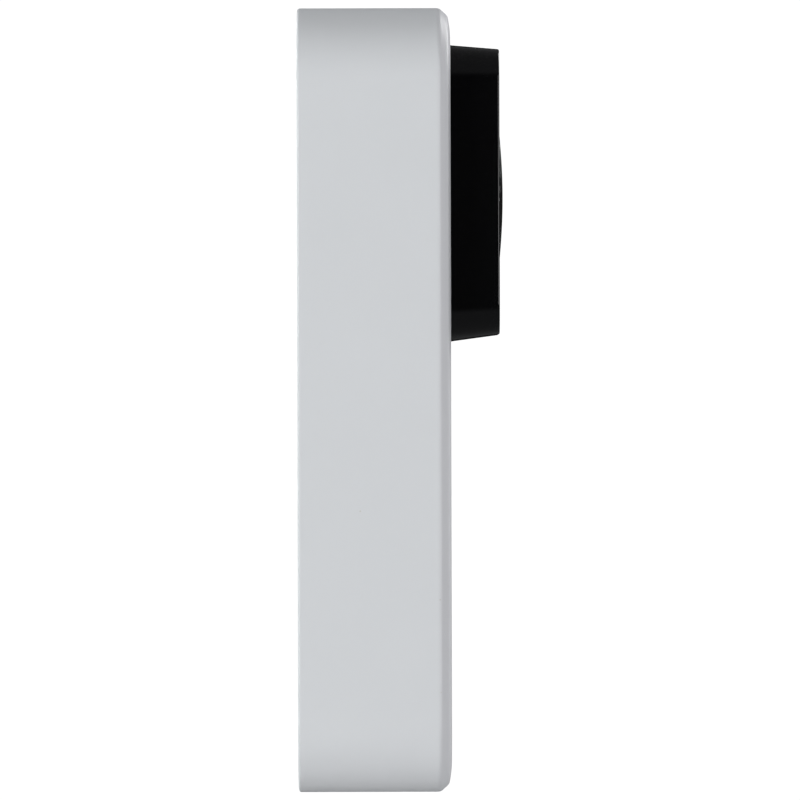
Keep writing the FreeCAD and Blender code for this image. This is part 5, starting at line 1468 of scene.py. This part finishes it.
def soft_light(name, azimuth, elevation, distance, width, power, tint):
    """A large soft lamp that looks at the body.  Azimuth 0 is in front and 270 on the left."""
    lamp = bpy.data.lights.new(name, "AREA")
    lamp.shape = "RECTANGLE"
    lamp.size = width[0]
    lamp.size_y = width[1]
    lamp.energy = power
    lamp.color = tint
    holder = bpy.data.objects.new(name, lamp)
    turn, lift = math.radians(azimuth), math.radians(elevation)
    level = math.cos(lift)
    way = Vector((math.sin(turn) * level, -math.cos(turn) * level, math.sin(lift)))
    holder.location = way * distance
    holder.rotation_euler = way.to_track_quat("Z", "Y").to_euler()
    holder.visible_camera = False
    bpy.context.scene.collection.objects.link(holder)
    return holder


def make_sky():
    """Plain white to look at, dim all round, and dark where the gloss faces would mirror it."""
    world = bpy.data.worlds.new("studio")
    bpy.context.scene.world = world
    world.use_nodes = True
    world.node_tree.nodes.clear()
    tree = Tree(world.node_tree)
    way = tree.add("ShaderNodeTexCoord").outputs["Generated"]
    sideways = tree.maths("ABSOLUTE", tree.parts(way)[0])
    shade = tree.blend(tree.step(sideways, 0.82, 0.95), SKY_DIM, SKY_DARK)
    dim = tree.add("ShaderNodeBackground", {"Color": shade, "Strength": 1.0})
    white = tree.add("ShaderNodeBackground", {"Color": WHITE, "Strength": SKY_WHITE})
    seen = tree.add("ShaderNodeLightPath").outputs["Is Camera Ray"]
    both = tree.add("ShaderNodeMixShader", {0: seen, 1: dim.outputs[0], 2: white.outputs[0]})
    leave = tree.add("ShaderNodeOutputWorld")
    tree.feed(leave.inputs["Surface"], both.outputs[0])


def make_floor(drop):
    """A pale sheet that looks white to the camera, and that the gloss faces don't mirror."""
    reach = 0.9
    rings = []
    for level, inset in ((0.02, 0.0), (0.004, 0.0), (0.0, 0.004)):
        scale = 1 - inset / reach
        ring = upright_ring((-reach, -reach), (reach, reach), 0.1, level, 12)
        rings.append([Vector((spot.x * scale, spot.z * scale, -drop + spot.y)) for spot in ring])
    work = bmesh.new()
    add_rings(work, rings)
    floor = piece_from("floor", work)
    paper = bpy.data.materials.new("pale paper")
    paper.use_nodes = True
    tree = Tree(paper.node_tree)
    shader = paper.node_tree.nodes["Principled BSDF"]
    place = tree.add("ShaderNodeTexCoord").outputs["Object"]
    fibres = tree.noise(place, 900.0, 3.0)
    seen = tree.add("ShaderNodeLightPath").outputs["Is Camera Ray"]
    bump = tree.add("ShaderNodeBump", {"Height": fibres, "Distance": 0.02 * MM})
    for socket, value in (
        ("Base Color", tree.blend(fibres, *PAPER_TONES)),
        ("Roughness", 0.9),
        ("Emission Color", WHITE),
        ("Emission Strength", tree.maths("MULTIPLY", seen, PAPER_LIFT)),
        ("Normal", bump.outputs[0]),
    ):
        tree.feed(shader.inputs[socket], value)
    floor.data.materials.append(paper)
    floor.visible_glossy = False


def make_camera(sizes, side):
    """A distant camera on the left that looks along the wall, straight at the body's side."""
    lens = bpy.data.cameras.new("camera")
    lens.sensor_width = 36.0
    lens.lens = lens.sensor_width * sizes.distance / sizes.frame_height
    lens.clip_start = 0.05
    lens.clip_end = 20.0
    camera = bpy.data.objects.new("camera", lens)
    camera.location = (side - sizes.distance, -sizes.look_depth, 0.0)
    camera.rotation_euler = (math.pi / 2, 0, -math.pi / 2)
    camera.rotation_euler.rotate_axis("Z", sizes.roll)
    bpy.context.scene.collection.objects.link(camera)
    bpy.context.scene.camera = camera


class DOORBELL_OT_stage(DoorbellStep, bpy.types.Operator):
    """Make the pale floor, the soft lights and the camera"""

    bl_idname = "doorbell.stage"
    bl_label = "Studio"

    def execute(self, context):
        sizes = context.scene.doorbell_studio
        make_floor(sizes.floor_drop)
        for name, *place, power, setting, tint in LAMPS:
            soft_light(name, *place, power * getattr(sizes, setting), tint)
        bpy.data.objects["top light"].visible_glossy = False
        make_sky()
        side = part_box("front_housing")[0].x + context.scene.doorbell_housing.corner
        make_camera(sizes, side)
        context.scene.view_settings.view_transform = "Standard"
        return {"FINISHED"}


# ---------------------------------------------------------------- sidebar and registration

SETTINGS = (
    ("doorbell_housing", HousingSettings, "Body"),
    ("doorbell_island", IslandSettings, "Camera island"),
    ("doorbell_button", ButtonSettings, "Call button"),
    ("doorbell_metalwork", MetalworkSettings, "Metalwork"),
    ("doorbell_finish", FinishSettings, "Finishes"),
    ("doorbell_studio", StudioSettings, "Studio"),
)
STEPS = (
    DOORBELL_OT_effects,
    DOORBELL_OT_housing,
    DOORBELL_OT_island,
    DOORBELL_OT_lens,
    DOORBELL_OT_call_button,
    DOORBELL_OT_backing,
    DOORBELL_OT_bracket,
    DOORBELL_OT_screws,
    DOORBELL_OT_lamps,
    DOORBELL_OT_speaker_mesh,
    DOORBELL_OT_inner_pieces,
    DOORBELL_OT_stage,
)


class DOORBELL_PT_sidebar(bpy.types.Panel):
    """The doorbell's sizes, colours and steps"""

    bl_idname = "DOORBELL_PT_sidebar"
    bl_label = "Video Doorbell"
    bl_space_type = "VIEW_3D"
    bl_region_type = "UI"
    bl_category = "Doorbell"

    def draw(self, context):
        layout = self.layout
        for attribute, group, title in SETTINGS:
            box = layout.box()
            box.label(text=title)
            for name in group.__annotations__:
                box.prop(getattr(context.scene, attribute), name)
        for step in STEPS:
            layout.operator(step.bl_idname)


CLASSES = (*(group for _, group, _ in SETTINGS), *STEPS, DOORBELL_PT_sidebar)


def register():
    for made in CLASSES:
        bpy.utils.register_class(made)
    for attribute, group, _ in SETTINGS:
        setattr(bpy.types.Scene, attribute, bpy.props.PointerProperty(type=group))


def unregister():
    for attribute, _, _ in SETTINGS:
        delattr(bpy.types.Scene, attribute)
    for made in reversed(CLASSES):
        bpy.utils.unregister_class(made)


def main():
    register()
    for step in STEPS:
        group, name = step.bl_idname.split(".")
        getattr(getattr(bpy.ops, group), name)()
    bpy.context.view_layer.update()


if __name__ == "__main__":
    main()
